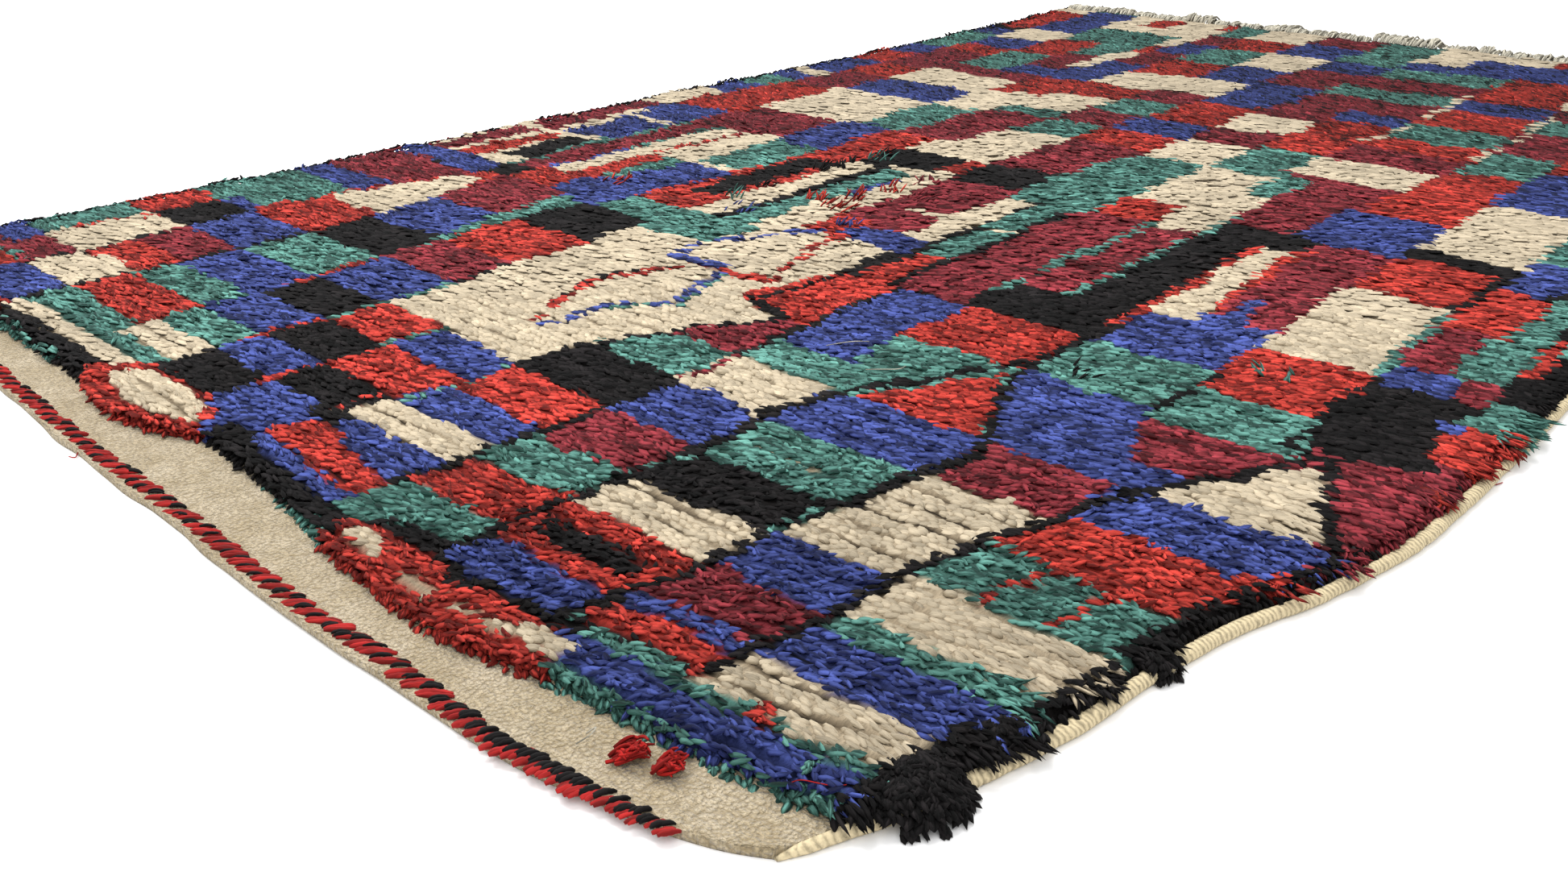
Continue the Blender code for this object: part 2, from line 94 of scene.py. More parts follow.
# How far inwards the bare edge's curve is felt, the far edge's wave, and how the bare end lifts off the floor
BARE_CURVE_REACH = 0.45
FAR_EDGE_WAVE = 0.006
BARE_LIFT = 0.0022
BARE_LIFT_REACH = 0.040
BARE_LIFT_INNER = 0.4
BARE_LIFT_END = 0.064
BARE_WAVES = 9.5
BARE_WAVE_START = 0.4
GAP = 0.0003

TWINING_SETBACK = (
    # across, then how far the twined line's middle lies from the bare edge
    (-0.72, 0.30, 0.44, 0.50, 0.55, 0.60),
    (0.0105, 0.0105, 0.0100, 0.0090, 0.0068, 0.0048),
)
PILE_START = (
    # across, forward: where the pile begins, as it bulges over the bare band
    (-0.80, 0.110),
    (-0.60, 0.075),
    (-0.45, 0.056),
    (-0.25, 0.048),
    (-0.20, 0.036),
    (-0.14, 0.028),
    (-0.07, 0.040),
    (-0.03, 0.055),
    (0.05, 0.047),
    (0.10, 0.040),
    (0.15, 0.030),
    (0.19, 0.022),
    (0.25, 0.012),
    (0.35, 0.005),
    (0.42, 0.014),
    (0.45, 0.020),
    (0.55, 0.027),
    (0.64, 0.036),
    (0.72, 0.040),
)

# The shaggy middle of the pile: where it lies and how far it reaches. LUMP is how uneven the pile's top is
SHAGGY_MIDDLE = (0.10, 1.15)
SHAGGY_REACH = (0.50, 0.42)
LUMP = 0.0016

RIM_REACH = (
    # forward, reach: how far the locks at the right side reach past the cloth's edge
    (0.030, 0.014),
    (0.085, 0.014),
    (0.103, 0.001),
    (0.122, 0.013),
    (0.140, 0.017),
    (0.162, 0.012),
    (0.180, 0.002),
    (0.222, 0.007),
    (0.245, 0.001),
    (0.270, 0.010),
    (0.284, 0.014),
    (0.300, 0.000),
    (0.340, -0.003),
    (0.380, 0.000),
    (0.430, 0.004),
    (0.450, 0.006),
    (0.480, 0.003),
    (0.570, 0.000),
    (0.598, 0.015),
    (0.618, 0.003),
    (0.638, -0.004),
    (0.660, 0.006),
    (0.690, 0.010),
    (0.728, 0.013),
    (0.765, 0.016),
    (0.800, 0.006),
    (0.860, 0.004),
    (0.940, 0.013),
    (2.600, 0.015),
)
CORNER_HEAPS = (
    # the bushy black masses: across, forward, half the size each way, height and number of tufts
    (0.661, 0.083, 0.027, 0.030, 0.0195, 760),
    (0.667, 0.149, 0.012, 0.018, 0.0185, 240),
    (0.698, 0.276, 0.010, 0.012, 0.0160, 100),
)
SPRAYS = (
    # yarns that stand up in the shaggy middle and fall loose elsewhere: letter, across, forward, reach of the
    # bunch, number, length, heading in degrees, how far they point up
    ("g", -0.196, 0.841, 0.014, 7, 0.024, 60, 0.95),
    ("k", -0.204, 0.904, 0.010, 6, 0.019, 80, 0.80),
    ("k", -0.204, 1.017, 0.012, 11, 0.026, 70, 0.95),
    ("k", -0.190, 1.041, 0.010, 8, 0.019, 120, 0.60),
    ("k", -0.193, 1.067, 0.009, 6, 0.019, 100, 0.70),
    ("g", -0.180, 1.110, 0.014, 9, 0.022, 100, 0.65),
    ("k", -0.206, 1.139, 0.012, 9, 0.020, 60, 0.50),
    ("r", -0.113, 0.904, 0.014, 14, 0.021, 100, 0.65),
    ("r", -0.069, 0.888, 0.016, 16, 0.022, 60, 0.55),
    ("r", -0.075, 0.926, 0.012, 12, 0.021, 80, 0.75),
    ("r", -0.090, 0.959, 0.012, 10, 0.018, 120, 0.65),
    ("r", -0.074, 0.997, 0.014, 10, 0.018, 100, 0.60),
    ("m", -0.060, 1.051, 0.016, 12, 0.018, 90, 0.50),
    ("m", -0.020, 0.985, 0.022, 16, 0.018, 70, 0.40),
    ("b", -0.020, 0.850, 0.016, 14, 0.018, 100, 0.45),
    ("b", -0.160, 0.815, 0.020, 10, 0.014, 100, 0.50),
    ("r", -0.370, 0.800, 0.020, 14, 0.017, 90, 0.50),
    ("g", 0.560, 0.740, 0.018, 10, 0.018, 150, 0.35),
    ("k", 0.430, 0.620, 0.014, 8, 0.014, 60, 0.50),
    ("g", 0.650, 0.172, 0.004, 7, 0.027, 20, 0.05),
    ("g", 0.640, 0.180, 0.008, 10, 0.018, 10, 0.10),
    ("k", 0.690, 0.221, 0.005, 6, 0.012, -25, 0.00),
    ("b", 0.676, 0.160, 0.0030, 14, 0.010, -60, 0.00),
    ("g", 0.611, 0.056, 0.0040, 12, 0.009, -70, 0.25),
    ("r", 0.563, 0.066, 0.0020, 4, 0.006, -30, 0.25),
    ("r", 0.742, 0.735, 0.012, 16, 0.024, -5, 0.05),
    ("r", 0.736, 0.668, 0.016, 22, 0.024, -12, 0.05),
    ("m", 0.738, 0.602, 0.012, 20, 0.024, -15, 0.02),
    ("m", 0.738, 0.452, 0.010, 14, 0.014, -30, 0.10),
    ("r", 0.715, 0.400, 0.012, 14, 0.016, -20, 0.10),
    ("g", 0.742, 0.775, 0.016, 18, 0.024, 0, 0.05),
)
HAIRS = (
    # loose threads: red or not, thickness, then across, forward and height of its points, in millimetres
    (True, 0.0004, ((612, 36, 13), (618, 39, 17), (626, 43, 17), (633, 49, 15), (636, 55, 14))),
    (True, 0.0005, ((758, 672, 1), (762, 680, 1), (765, 676, 1), (768, 683, 1))),
    (True, 0.0006, ((-92, -16, 5), (-94, -21, 3), (-91, -25, 1), (-96, -28, 1))),
    (True, 0.0006, ((338, 18, 10), (341, 10, 6), (339, 4, 6), (342, -1, 6))),
    (False, 0.0005, ((497, -10, 7), (502, -4, 12), (499, 3, 12), (494, 0, 7))),
    (False, 0.0004, ((226, 522, 21), (235, 531, 23), (240, 545, 22), (252, 552, 23))),
    (False, 0.0004, ((290, 500, 21), (302, 505, 23), (312, 518, 22), (311, 530, 21))),
)
MILLIMETRES = 1000

# The colours of the blocks: the letters of the chart, in the order of the pile's pieces
COLOUR_LETTERS = "crbgmk"
COLOUR_NAMES = ("cream", "red", "blue", "green", "maroon", "black")
CREAM = COLOUR_LETTERS.index("c")
BLACK = COLOUR_LETTERS.index("k")
# How much the tufts of a wool differ in tone, and how strongly their fibres show,
# in streaks that are partly painted shade and painted highlight
WOOL_VARIETY = {CREAM: (0.34, 0.36), BLACK: (1.20, 2.00)}
DYED_VARIETY = (0.75, 1.55)

# The patchwork, charted in centimetres. A zone has stations along the rug. A strip of blocks has the
# places of its right side at those stations, then where it starts, then each block's letter and its end.
NEAR_STATIONS = (10, 30, 45, 58, 70)
NEAR_STRIPS = (
    ((-70, -68.5, -67.5, -66, -66), "0 k4 r8 b15 m17 b21.5 g33.5 r42.5 g55.5 b61.5 m72.5"),
    ((-60, -58.5, -60.5, -58, -56), "0 k4 g9 r14.5 g15.5 m20.5 c33.5 k42 b44 g55.5 b61.5 m71.5"),
    ((-47, -47, -46.5, -48.5, -50.5), "0 k5 r8 b14.5 c21.5 r26 m33 b41.5 r51.5 c70 r72.5"),
    ((-31.5, -31.5, -32, -35.5, -37.5), "0 k7.3 c9.5 g14 r20.7 g25.7 b33 g41.2 k50.5 b61 m73"),
    ((-31.5, -31.5, -32, -33, -32.5), "0 g71.5"),
    ((-20, -19, -19, -19.5, -20.5), "0 k7.5 c9.5 g11.3 c15.5 g20.5 b26.5 k33 b41.8 m50 r60.5 k71"),
    ((-9, -8.7, -8.5, -8.5, -8.5), "0 k15 b20.5 k26.5 r33 c68 g77.5"),
    ((0.8, 4, 5, 6, 8.5), "0 b14.5 k20 r26.5 b32 c80.5"),
    ((16, 17, 17.3, 16.5, 16.5), "0 k4 b7 r12.5 b15 c19.3 b24.3 r31.3 k38.7 g46.5 m55.5 r71"),
    ((27.5, 28.5, 28.5, 25, 25.7), "0 k4.5 g11.3 r17.5 g22.7 m29.7 b38 c46.6 g51.3 b70.7"),
    ((40.5, 43.5, 45, 39.5, 38.7), "0 k5.5 b10.3 r17.2 c22.7 k29.3 g37.7 b45.2 g59.7 r70.7"),
    ((51, 54, 57, 51.8, 51.5), "0 b6 g7 r10.5 b11.6 m17.7 b23.6 c38 m45.2 b59.7 g70.5"),
    ((66, 69.3, 72.3, 64.5, 63), "0 b6 g6.8 c11.5 b16.3 g18.6 c25 g31.7 r38.8 b49.5 m58 g67.3 r79.5"),
    ((100, 100, 100, 100, 100), "0 k42 m61.5 k78"),
)
MIDDLE_STATIONS = (80, 102, 125)
MIDDLE_STRIPS = (
    ((-73.5, -74, -74), "72 b77.5 c130"),
    ((-69, -67.5, -69), "72 b77.5 m94 c96 m120 c133"),
    ((-67.5, -65.5, -68), "72 b77.5 c115 b122 r133"),
    ((-63, -63.5, -64), "72 b77.5 r94 c96 b109 c110 b122 r133"),
    ((-62, -62, -62), "72 b77.5 c96 b109 c110 b122 r133"),
    ((-56, -56.5, -56), "72 b77.5 c81 k93.5 c95.5 b109 c110 b122 r133"),
    ((-55, -55, -55), "72 k78 g115 m128.5"),
    ((-50, -50, -50), "72 k78 m128.5"),
    ((-49, -49, -49), "72 r79 b95 g113 m128.5"),
    ((-45.5, -45.3, -45.5), "72 r79 c113 m128.5"),
    ((-44.5, -44, -44.5), "72 r112 m128.5"),
    ((-41.5, -41, -41.5), "72 r94 c113.5 m128.5"),
    ((-38.5, -37, -38.5), "72 b81 g95 c114 m128.5"),
    ((-30, -28, -28.5), "71 b94.5 c95.5 g112 b128.5"),
    ((-27.5, -27, -28), "71 g77 r106 r127.5"),
    ((-22.5, -22, -22), "71 g77 r84 k106 r127.5"),
    ((-20.5, -20.5, -20), "71 g77 r103 k106 r127.5"),
    ((-16, -16, -17), "68 g77 c108 k120 c134"),
    ((-14.5, -14, -14.5), "68 g77 k108 k120 c134"),
    ((-10.5, -10, -10), "68 g108.5 c110 k120 c134"),
    ((-9.5, -9, -9), "68 g77 c94 b105 c110 k120 c134"),
    ((-5, -4.5, -6), "76 c112 r128"),
    ((-0.5, 0, -1), "80 r88 m110 k120 m134"),
    ((5.7, 5.5, 5.5), "80 b85.5 m94 c95 m110 k120 m134"),
    ((10.2, 10.5, 10), "80 b85.5 c107.5 g136"),
    ((11.2, 11.5, 11), "71 k107 g136"),
    ((15, 15, 15), "71 r81.5 g94 c95 g136"),
    ((16, 16.3, 16.3), "71 k107 g136"),
    ((24.5, 24.8, 24.8), "71 m108.5 r117.5 c138.5"),
    ((25.5, 25.8, 25.8), "71 k75 g108 c117 b125 c138.5"),
    ((30.8, 30.5, 31), "71 k80 m107.5 c129 g140"),
    ((31.8, 31.7, 32), "71 k80 g117 m142"),
    ((38.3, 37.8, 38.3), "71 k115 m142"),
    ((39.4, 38.7, 39.4), "71 k75 r108 k116 m142"),
    ((44, 42.5, 43.5), "70.5 b81 c108 k109 k114 b129.5"),
    ((45, 43.5, 44.5), "70.5 b84 r110 m114 b129.5"),
    ((51.5, 51, 51.7), "70.5 b84 m114 b129.5"),
    ((61.8, 61.5, 61.8), "67 r79.5 c101.5 r115 k119 c144"),
    ((62.8, 62.5, 63), "67 r79.5 g101 k115 k119 r130 g144"),
    ((67, 66.5, 68), "60 k78 b83 m95.5 r110.5 b123 g140"),
    ((69, 68, 69.5), "60 k78 b83 g95 r110 k112 b123 g140"),
    ((72, 71.5, 72.5), "61 k78 m84 g112 k118 m132 g140"),
    ((73.5, 73, 73.5), "61 r73 g80 k88 r100 k112 b128 g140"),
    ((100, 100, 100), "61 r73 g80 k95 g108 k118 r130 k138"),
)
FAR_STATIONS = (130, 165, 210, 255)
FAR_STRIPS = (
    ((-68, -66.5, -67.5, -70), "130 c133 b142 g150 b156 c160 b174 r185 b195 g215 b223 k226 r252 c262"),
    ((-55.5, -55.5, -56, -58.5), "122 r147.5 m162 r173 m193 r202 b213 c226 b256 g262"),
    ((-45.5, -46, -46, -46), "128.5 c148.5 b162 c174.5 m182 g200 r219 g237 c262"),
    ((-36.5, -37.5, -38, -38), "128.5 c148.5 b162 c174.5 m181 b190 m206 g220 g237 c262"),
    ((-35.7, -36.7, -35, -35), "128.5 c148.5 b162 c174.5 m181 b193 c215 r225 c250 r262"),
    ((-27.5, -26.5, -27.5, -27.5), "128.5 g148 c164.5 r181.5 b203 m218 b232 m243 g262"),
    ((-16.5, -15.5, -16, -16), "127.5 m151 g157 c170 r182 c196 r213 g230 r244 c262"),
    ((-5.5, -5.5, -5, -3.5), "120 c141 g150.5 m162.5 g174 m185 c198 b214 c230 b246 m262"),
    ((7.5, 5.5, 6.5, 8.5), "134 m140 r151 b162.5 r180 b202 m219 b231 g262"),
    ((17, 16.5, 16, 16.5), "107 g138.5 c153 m163 c175.5 m200 g210 m221 g231 b239 c262"),
    ((26.5, 26, 26.5, 28.5), "118 c138.5 g155 r180 b188 m200 g210 m221 g233 b250 c262"),
    ((41, 42, 41, 40), "129 m142 c154.5 m165.5 r174 g185.5 r200 b210 r235 b250 r262"),
    ((51.5, 51.5, 52, 52), "129.5 r158.5 g173 m190 g201 m212 c224 g236 r248 k262"),
    ((63, 64, 64, 64), "119 c144 b166 r178 c189 b202 g214 r226 m238 c250 b262"),
    ((100, 100, 100, 100), "123 g140 m152 k158 r170 b183 g195 m207 b220 k232 r245 g262"),
)
# Later zones, figures and lines cover earlier ones
ZONES = (
    (MIDDLE_STATIONS, MIDDLE_STRIPS),
    (FAR_STATIONS, FAR_STRIPS),
    (NEAR_STATIONS, NEAR_STRIPS),
)
CENTIMETRES = 100

FIGURES = (
    # letter, then the corners: triangles, slanted blocks and the two outlined bands at the bare end
    ("c", ((5, 38.7), (7, 41.5), (9.5, 47.5), (12, 51.5), (15, 55.5), (8, 57.5), (5, 58))),
    ("r", ((31, 45.2), (44.3, 45.2), (38.3, 58))),
    ("c", ((59, 46), (72, 47), (66.3, 59))),
    ("k", ((29.5, 12), (39.3, 12), (39.3, 14.4), (29.5, 14.4))),
    ("r", ((-23.5, 7.5), (-20, 9.8), (-15, 9.8), (-9, 9), (-5, 8), (-3.6, 4.5), (-8, 2), (-13, 0), (-24, 3))),
    ("c", ((-22, 7.3), (-19.5, 8.7), (-15, 8.7), (-9, 7.8), (-5.5, 7), (-6, 5.5), (-13, 4.6), (-21, 6))),
    ("k", ((-3, 8), (4, 7), (12, 5.4), (18.5, 4.8), (18.5, 0), (-3, 0))),
    ("b", ((-5, 10.4), (1, 8.8), (6, 8.2), (15.5, 6.6), (15.5, 5.2), (6, 6.6), (-4, 8.2))),
    ("r", ((1.5, 10.8), (4, 12.4), (8, 12), (15.7, 10), (15.7, 6.8), (10, 7.8), (5, 8.4))),
    ("b", ((3, 14.6), (8, 14.4), (15.8, 12.2), (15.8, 10.2), (8, 12), (4, 12.6))),
    ("k", ((-0.5, 15), (3, 15), (3.5, 12.6), (0, 12))),
    ("k", ((19, 6), (27.5, 8.6), (28, 6.4), (40, 6), (42, 5), (42, 0), (19, 0))),
    ("r", ((18.5, 4.5), (20, 6), (26, 5.8), (32, 4.2), (41, 5.2), (43.5, 3), (43, 0), (19, 0))),
    ("k", ((40.8, 7.4), (50.4, 7.6), (50.4, 6), (41, 5.8))),
    ("b", ((43, 6), (54, 6), (65, 6.8), (65, 0), (43, 0))),
    ("g", ((43, 2.8), (52, 2.9), (64, 4.4), (64, 0), (43, 0))),
    ("k", ((65, 14), (64, 3), (100, 3), (100, 14))),
    ("b", ((44.5, 84), (47.8, 84), (46.5, 93))),
    ("r", ((-53, 244), (-46, 244), (-46, 256), (-53, 256))),
    ("m", ((67.8, 59.5), (70.3, 61.4), (74.4, 62.7), (78, 62), (78, 48), (73, 48), (72.5, 49.5), (69, 55.7))),
    ("r", ((73.9, 60.1), (78, 60.4), (78, 58.6), (74.6, 58.4))),
    ("r", ((71.9, 67.2), (71.4, 71.6), (72.3, 73.3), (78, 73), (78, 65.5), (72.8, 64.8))),
    ("m", ((72.6, 64.9), (78, 66), (78, 63.4), (74, 63.4))),
    ("g", ((70.7, 73.5), (75.2, 80.5), (78, 81), (78, 73.4), (73.8, 72.8))),
    ("b", ((70.8, 71.6), (72.4, 72.0), (72.2, 73.2), (70.6, 72.8))),
    ("m", ((73.4, 46.9), (78, 49), (78, 44), (75, 40.4), (72.8, 41), (72.6, 42.9), (74.2, 46))),
    ("r", ((69, 39.8), (71.7, 40.9), (73.2, 39.8), (73, 38.4), (70.4, 38.6), (69, 38.4))),
    ("k", ((70.2, 38.3), (76, 38.3), (76, 33), (70.2, 33), (69.8, 36))),
    ("k", ((69.4, 34.8), (76, 34.8), (76, 26), (67.8, 26), (68.4, 31))),
    ("g", ((26.5, 129), (31, 129), (31, 141), (26.5, 141))),
)
LINES = (
    # letter, width, then the points: thin lines between blocks, zigzags and dashes
    ("k", 0.9, ((16.3, 10), (17, 20), (17.2, 30), (17.6, 38))),
    ("k", 1.1, ((27.7, 8), (28.3, 20), (28.6, 30), (28.6, 40), (30, 46), (35.3, 56), (37.8, 61))),
    ("k", 1.1, ((40, 6), (41.6, 15), (42, 22), (43.6, 30), (44.4, 36), (45.6, 42), (45, 46))),
    ("k", 1.1, ((45, 46), (42, 51), (39.6, 57), (38.7, 62), (39, 71), (39.5, 76))),
    ("k", 1.1, ((51, 8), (52.2, 17), (53, 25), (54.6, 33), (56.3, 40), (58.3, 45.5), (62, 52), (65.4, 60))),
    ("k", 1.1, ((73, 46), (69.5, 53), (67, 60), (63.3, 60.5))),
    ("k", 1.0, ((67.3, 12), (68, 18), (69.3, 25), (70.3, 33), (72, 40), (73, 46))),
    ("k", 0.8, ((5.2, 33), (5.3, 38), (6.8, 42), (9.2, 48), (12, 52), (15, 56), (8, 58))),
    ("k", 0.8, ((8.6, 58), (9, 65), (9.5, 72), (10.4, 80))),
    ("k", 0.8, ((17.4, 46), (17, 55), (16.6, 62), (16.6, 71))),
    ("k", 0.7, ((52, 60), (51.7, 71))),
    ("k", 0.7, ((63, 61), (63.2, 67), (62.4, 74), (63, 79))),
    ("k", 0.6, ((71.5, 47.6), (73, 48.2), (74.9, 49.2))),
    ("r", 0.6, ((0.9, 15), (1.1, 20))),
    ("r", 0.6, ((-9, 13), (-8.8, 20))),
    ("g", 0.6, ((-8.6, 26), (-8.5, 32))),
    ("g", 0.6, ((3.6, 20), (4.2, 31))),
    ("r", 0.6, ((-19.4, 18), (-19, 26))),
    ("g", 0.6, ((-18.8, 28), (-18.7, 41))),
    ("k", 0.7, ((-18.8, 42), (-19, 50))),
    ("r", 0.7, ((-31.5, 30), (-31.8, 41))),
    ("k", 0.6, ((-47, 10), (-47, 33), (-46.5, 41))),
    ("k", 0.6, ((-59.4, 15), (-58.6, 30))),
    ("r", 0.7, ((-67.5, 22), (-69, 26), (-68.5, 30), (-66.5, 33))),
    ("r", 0.8, ((-60, 52), (-58.3, 60), (-56.5, 66))),
    ("r", 0.6, ((-50.3, 66), (-50.8, 72))),
    ("m", 0.6, ((17.8, 39), (18, 46))),
    ("g", 0.6, ((28.3, 23), (28.8, 28))),
    ("g", 0.6, ((42.2, 23), (43, 28))),
    ("g", 1.0, ((43, 6.4), (54, 6.6), (65, 7))),
    ("r", 1.0, ((56, 7.1), (56.8, 6.7))),
    ("c", 0.7, ((29.2, 32.8), (40.5, 32.4))),
    ("r", 0.7, ((59, 25), (58.3, 27), (59.2, 29), (59.3, 31.5))),
    ("r", 0.7, ((63.4, 25.6), (64.2, 28), (63.7, 30), (65, 31.6))),
    ("c", 1.2, ((20.5, 4.4), (24, 3.6))),
    ("c", 1.3, ((28, 2.7), (31.5, 2.6))),
    ("c", 1.1, ((33.5, 2.4), (35.5, 2.3))),
    ("c", 1.3, ((37, 2.5), (40, 3.7), (42.8, 3.9))),
    ("g", 0.8, ((-4, 4.6), (2, 4.4), (8, 4), (14, 3.2), (18, 2.6))),
    ("g", 0.6, ((-44, 5.6), (-38, 5.4), (-31, 5.4))),
    ("k", 0.5, ((-6.3, 44.5), (-9.4, 51.5), (-7.6, 57), (-6, 61))),
    ("r", 0.9, ((-5.3, 43.5), (-8, 49.5), (-8.6, 52), (-6.6, 55.5), (-6.5, 59), (-5, 62), (-3, 63.3))),
    ("r", 0.9, ((-3, 63.3), (1, 63), (5, 62.8), (5.8, 64.5), (4.4, 66), (3.2, 69.5))),
    ("r", 0.9, ((3.2, 69.5), (3, 72), (1.5, 75), (1.2, 78), (0.5, 81))),
    ("r", 0.5, ((-5.3, 43.5), (-4.5, 41), (-4, 39.5))),
    ("g", 0.6, ((-1, 46.5), (1.6, 50), (4, 51.8), (2.6, 55), (1.3, 59), (0.2, 62))),
    ("b", 0.8, ((-3.5, 39.3), (-1.5, 41), (-1, 43), (-1.8, 46), (0, 49.3), (3.3, 51.7), (1.8, 54.5))),
    ("b", 0.8, ((1.8, 54.5), (0.5, 58), (-0.5, 61.5), (-2, 63.9))),
    ("b", 1.1, ((-9, 62.8), (-5, 63.2), (-2.5, 64))),
    ("b", 0.9, ((-8.8, 64.5), (-9.3, 67.5), (-8.5, 70), (-7, 73), (-6, 76), (-4, 78.5), (-2, 81))),
    ("r", 0.8, ((-29, 80), (-27, 88), (-28, 95))),
    ("c", 0.6, ((26.6, 168), (27.2, 188), (26.8, 212))),
    ("c", 0.6, ((42.2, 165), (42.8, 182), (42, 205))),
)

# Layers of soft noise: strength, size of a lump and seed. The first two move the blocks' edges by centimetres
EDGE_DRIFT_ACROSS = ((0.40, 0.030, 21), (0.25, 0.011, 22))
EDGE_DRIFT_FORWARD = ((0.35, 0.040, 23), (0.20, 0.012, 24))
ROW_DRIFT = ((0.0026, 0.060, 31), (0.0016, 0.022, 32))
LIE_SWIRLS = ((0.24, 0.022, 41), (0.20, 0.09, 42))
TONE_PATCHES = ((0.40, 0.012, 45), (0.30, 0.06, 46))
CREASE_PATCHES = ((0.75, 0.028, 48),)
GROUND_LUMPS = ((1.0, 0.014, 3), (0.7, 0.006, 4))


class ClothSizes(bpy.types.PropertyGroup):
    """The flat-woven ground and its bare band."""

    thickness: bpy.props.FloatProperty(
        name="Thickness", description="Thickness of the flat weave", default=0.0035, unit="LENGTH"
    )
    thread: bpy.props.FloatProperty(
        name="Thread", description="Distance between two warp threads", default=0.0032, unit="LENGTH"
    )
    pucker: bpy.props.FloatProperty(
        name="Pucker", description="How far the bare band is from flat", default=0.0007, unit="LENGTH"
    )


class PileSizes(bpy.types.PropertyGroup):
    """The rows of knots and the tufts in them."""

    row_pitch: bpy.props.FloatProperty(
        name="Row pitch", description="Distance between two rows of knots", default=0.021, unit="LENGTH"
    )
    crest: bpy.props.FloatProperty(
        name="Pile height", description="Height of the pile over the floor", default=0.0175, unit="LENGTH"
    )
    shaggy_extra: bpy.props.FloatProperty(
        name="Shaggy extra", description="How much higher the shaggy middle is", default=0.0045, unit="LENGTH"
    )


def colour_property(label, described, default):
    return bpy.props.FloatVectorProperty(
        name=label, description=described, default=default, size=3, subtype="COLOR", min=0.0, max=1.0
    )


class WoolColours(bpy.types.PropertyGroup):
    """The dyed and undyed wools, as linear values."""

    cream: colour_property("Cream", "Undyed wool of the pile", (0.450, 0.378, 0.270))
    red: colour_property("Red", "Bright red wool of the pile", (0.345, 0.031, 0.022))
    blue: colour_property("Blue", "Blue wool of the pile", (0.038, 0.054, 0.190))
    green: colour_property("Green", "Blue-green wool of the pile", (0.070, 0.178, 0.150))
    maroon: colour_property("Maroon", "Dark red wool of the pile", (0.175, 0.021, 0.028))
    black: colour_property("Black", "Black wool of the pile", (0.0060, 0.0050, 0.0052))
    ground: colour_property("Ground", "Undyed wool of the flat weave", (0.53, 0.445, 0.31))
    fringe: colour_property("Fringe", "Greyish wool of the warp ends", (0.40, 0.375, 0.305))
    twined_red: colour_property("Twined red", "Red wool of the twined line", (0.27, 0.014, 0.013))
    stitched_red: colour_property("Stitched red", "Red wool of the two tufts", (0.31, 0.011, 0.009))


class TrimSizes(bpy.types.PropertyGroup):
    """The side cords, the twined line, the fringe and the loose yarn."""

    cord_width: bpy.props.FloatProperty(
        name="Cord width", description="Width of a side cord", default=0.0095, unit="LENGTH"
    )
    cord_height: bpy.props.FloatProperty(
        name="Cord height", description="Height of a side cord", default=0.0090, unit="LENGTH"
    )
    wrap_pitch: bpy.props.FloatProperty(
        name="Wrap pitch", description="Distance between turns of a side cord", default=0.0040, unit="LENGTH"
    )
    twine_pitch: bpy.props.FloatProperty(
        name="Twine pitch", description="Distance between two red plies", default=0.0210, unit="LENGTH"
    )
    fringe_yarn: bpy.props.FloatProperty(
        name="Fringe yarn", description="Thickness of a warp end", default=0.0026, unit="LENGTH"
    )


class StageSettings(bpy.types.PropertyGroup):
    """The floor, the lights and the camera."""

    floor_size: bpy.props.FloatProperty(
        name="Floor size", description="Side of the square floor", default=40.0, unit="LENGTH"
    )
    sky: bpy.props.FloatProperty(name="Sky", description="Strength of the white surroundings", default=0.85)
    key: bpy.props.FloatProperty(name="Key light", description="Power of the large soft light", default=190.0)
    eye_height: bpy.props.FloatProperty(
        name="Eye height", description="Height of the camera over the floor", default=0.487, unit="LENGTH"
    )
    tilt: bpy.props.FloatProperty(
        name="Tilt",
        description="How far the camera looks down",
        default=math.radians(24.557),
        subtype="ANGLE",
    )
    heading: bpy.props.FloatProperty(
        name="Heading",
        description="How far the camera turns to the left of the rug's length",
        default=math.radians(41.831),
        subtype="ANGLE",
    )
    lens: bpy.props.FloatProperty(name="Lens", description="Focal length in millimetres", default=32.855)
    stand: bpy.props.FloatVectorProperty(
        name="Stand",
        description="Where the camera stands, across and forward from the rug's middle line and bare end",
        default=(1.013, -0.415),
        size=2,
        unit="LENGTH",
    )


# Measures of the cloth


def read_curve(rows, at, column=1):
    """The values at an array of places of a smooth curve through a table, whose first column is the place."""
    places = np.array([row[0] for row in rows], float)
    values = np.array([row[column] for row in rows], float)
    last = len(rows) - 1
    before = np.maximum(np.arange(last + 1) - 1, 0)
    after = np.minimum(np.arange(last + 1) + 1, last)
    slopes = (values[after] - values[before]) / (places[after] - places[before])
    at = np.clip(np.asarray(at, float), places[0], places[-1])
    k = np.clip(np.searchsorted(places, at) - 1, 0, last - 1)
    step = places[k + 1] - places[k]
    u = (at - places[k]) / step
    return (
        (2 * u**3 - 3 * u**2 + 1) * values[k]
        + (u**3 - 2 * u**2 + u) * slopes[k] * step
        + (3 * u**2 - 2 * u**3) * values[k + 1]
        + (u**3 - u**2) * slopes[k + 1] * step
    )


def uneven(place, seed):
    """A smooth value between about -1 and 1 that never quite repeats."""
    return (
        np.sin(place * 1.00 + seed * 2.1)
        + np.sin(place * 2.37 + seed * 4.7)
        + np.sin(place * 5.13 + seed * 1.3)
    ) / 2.4


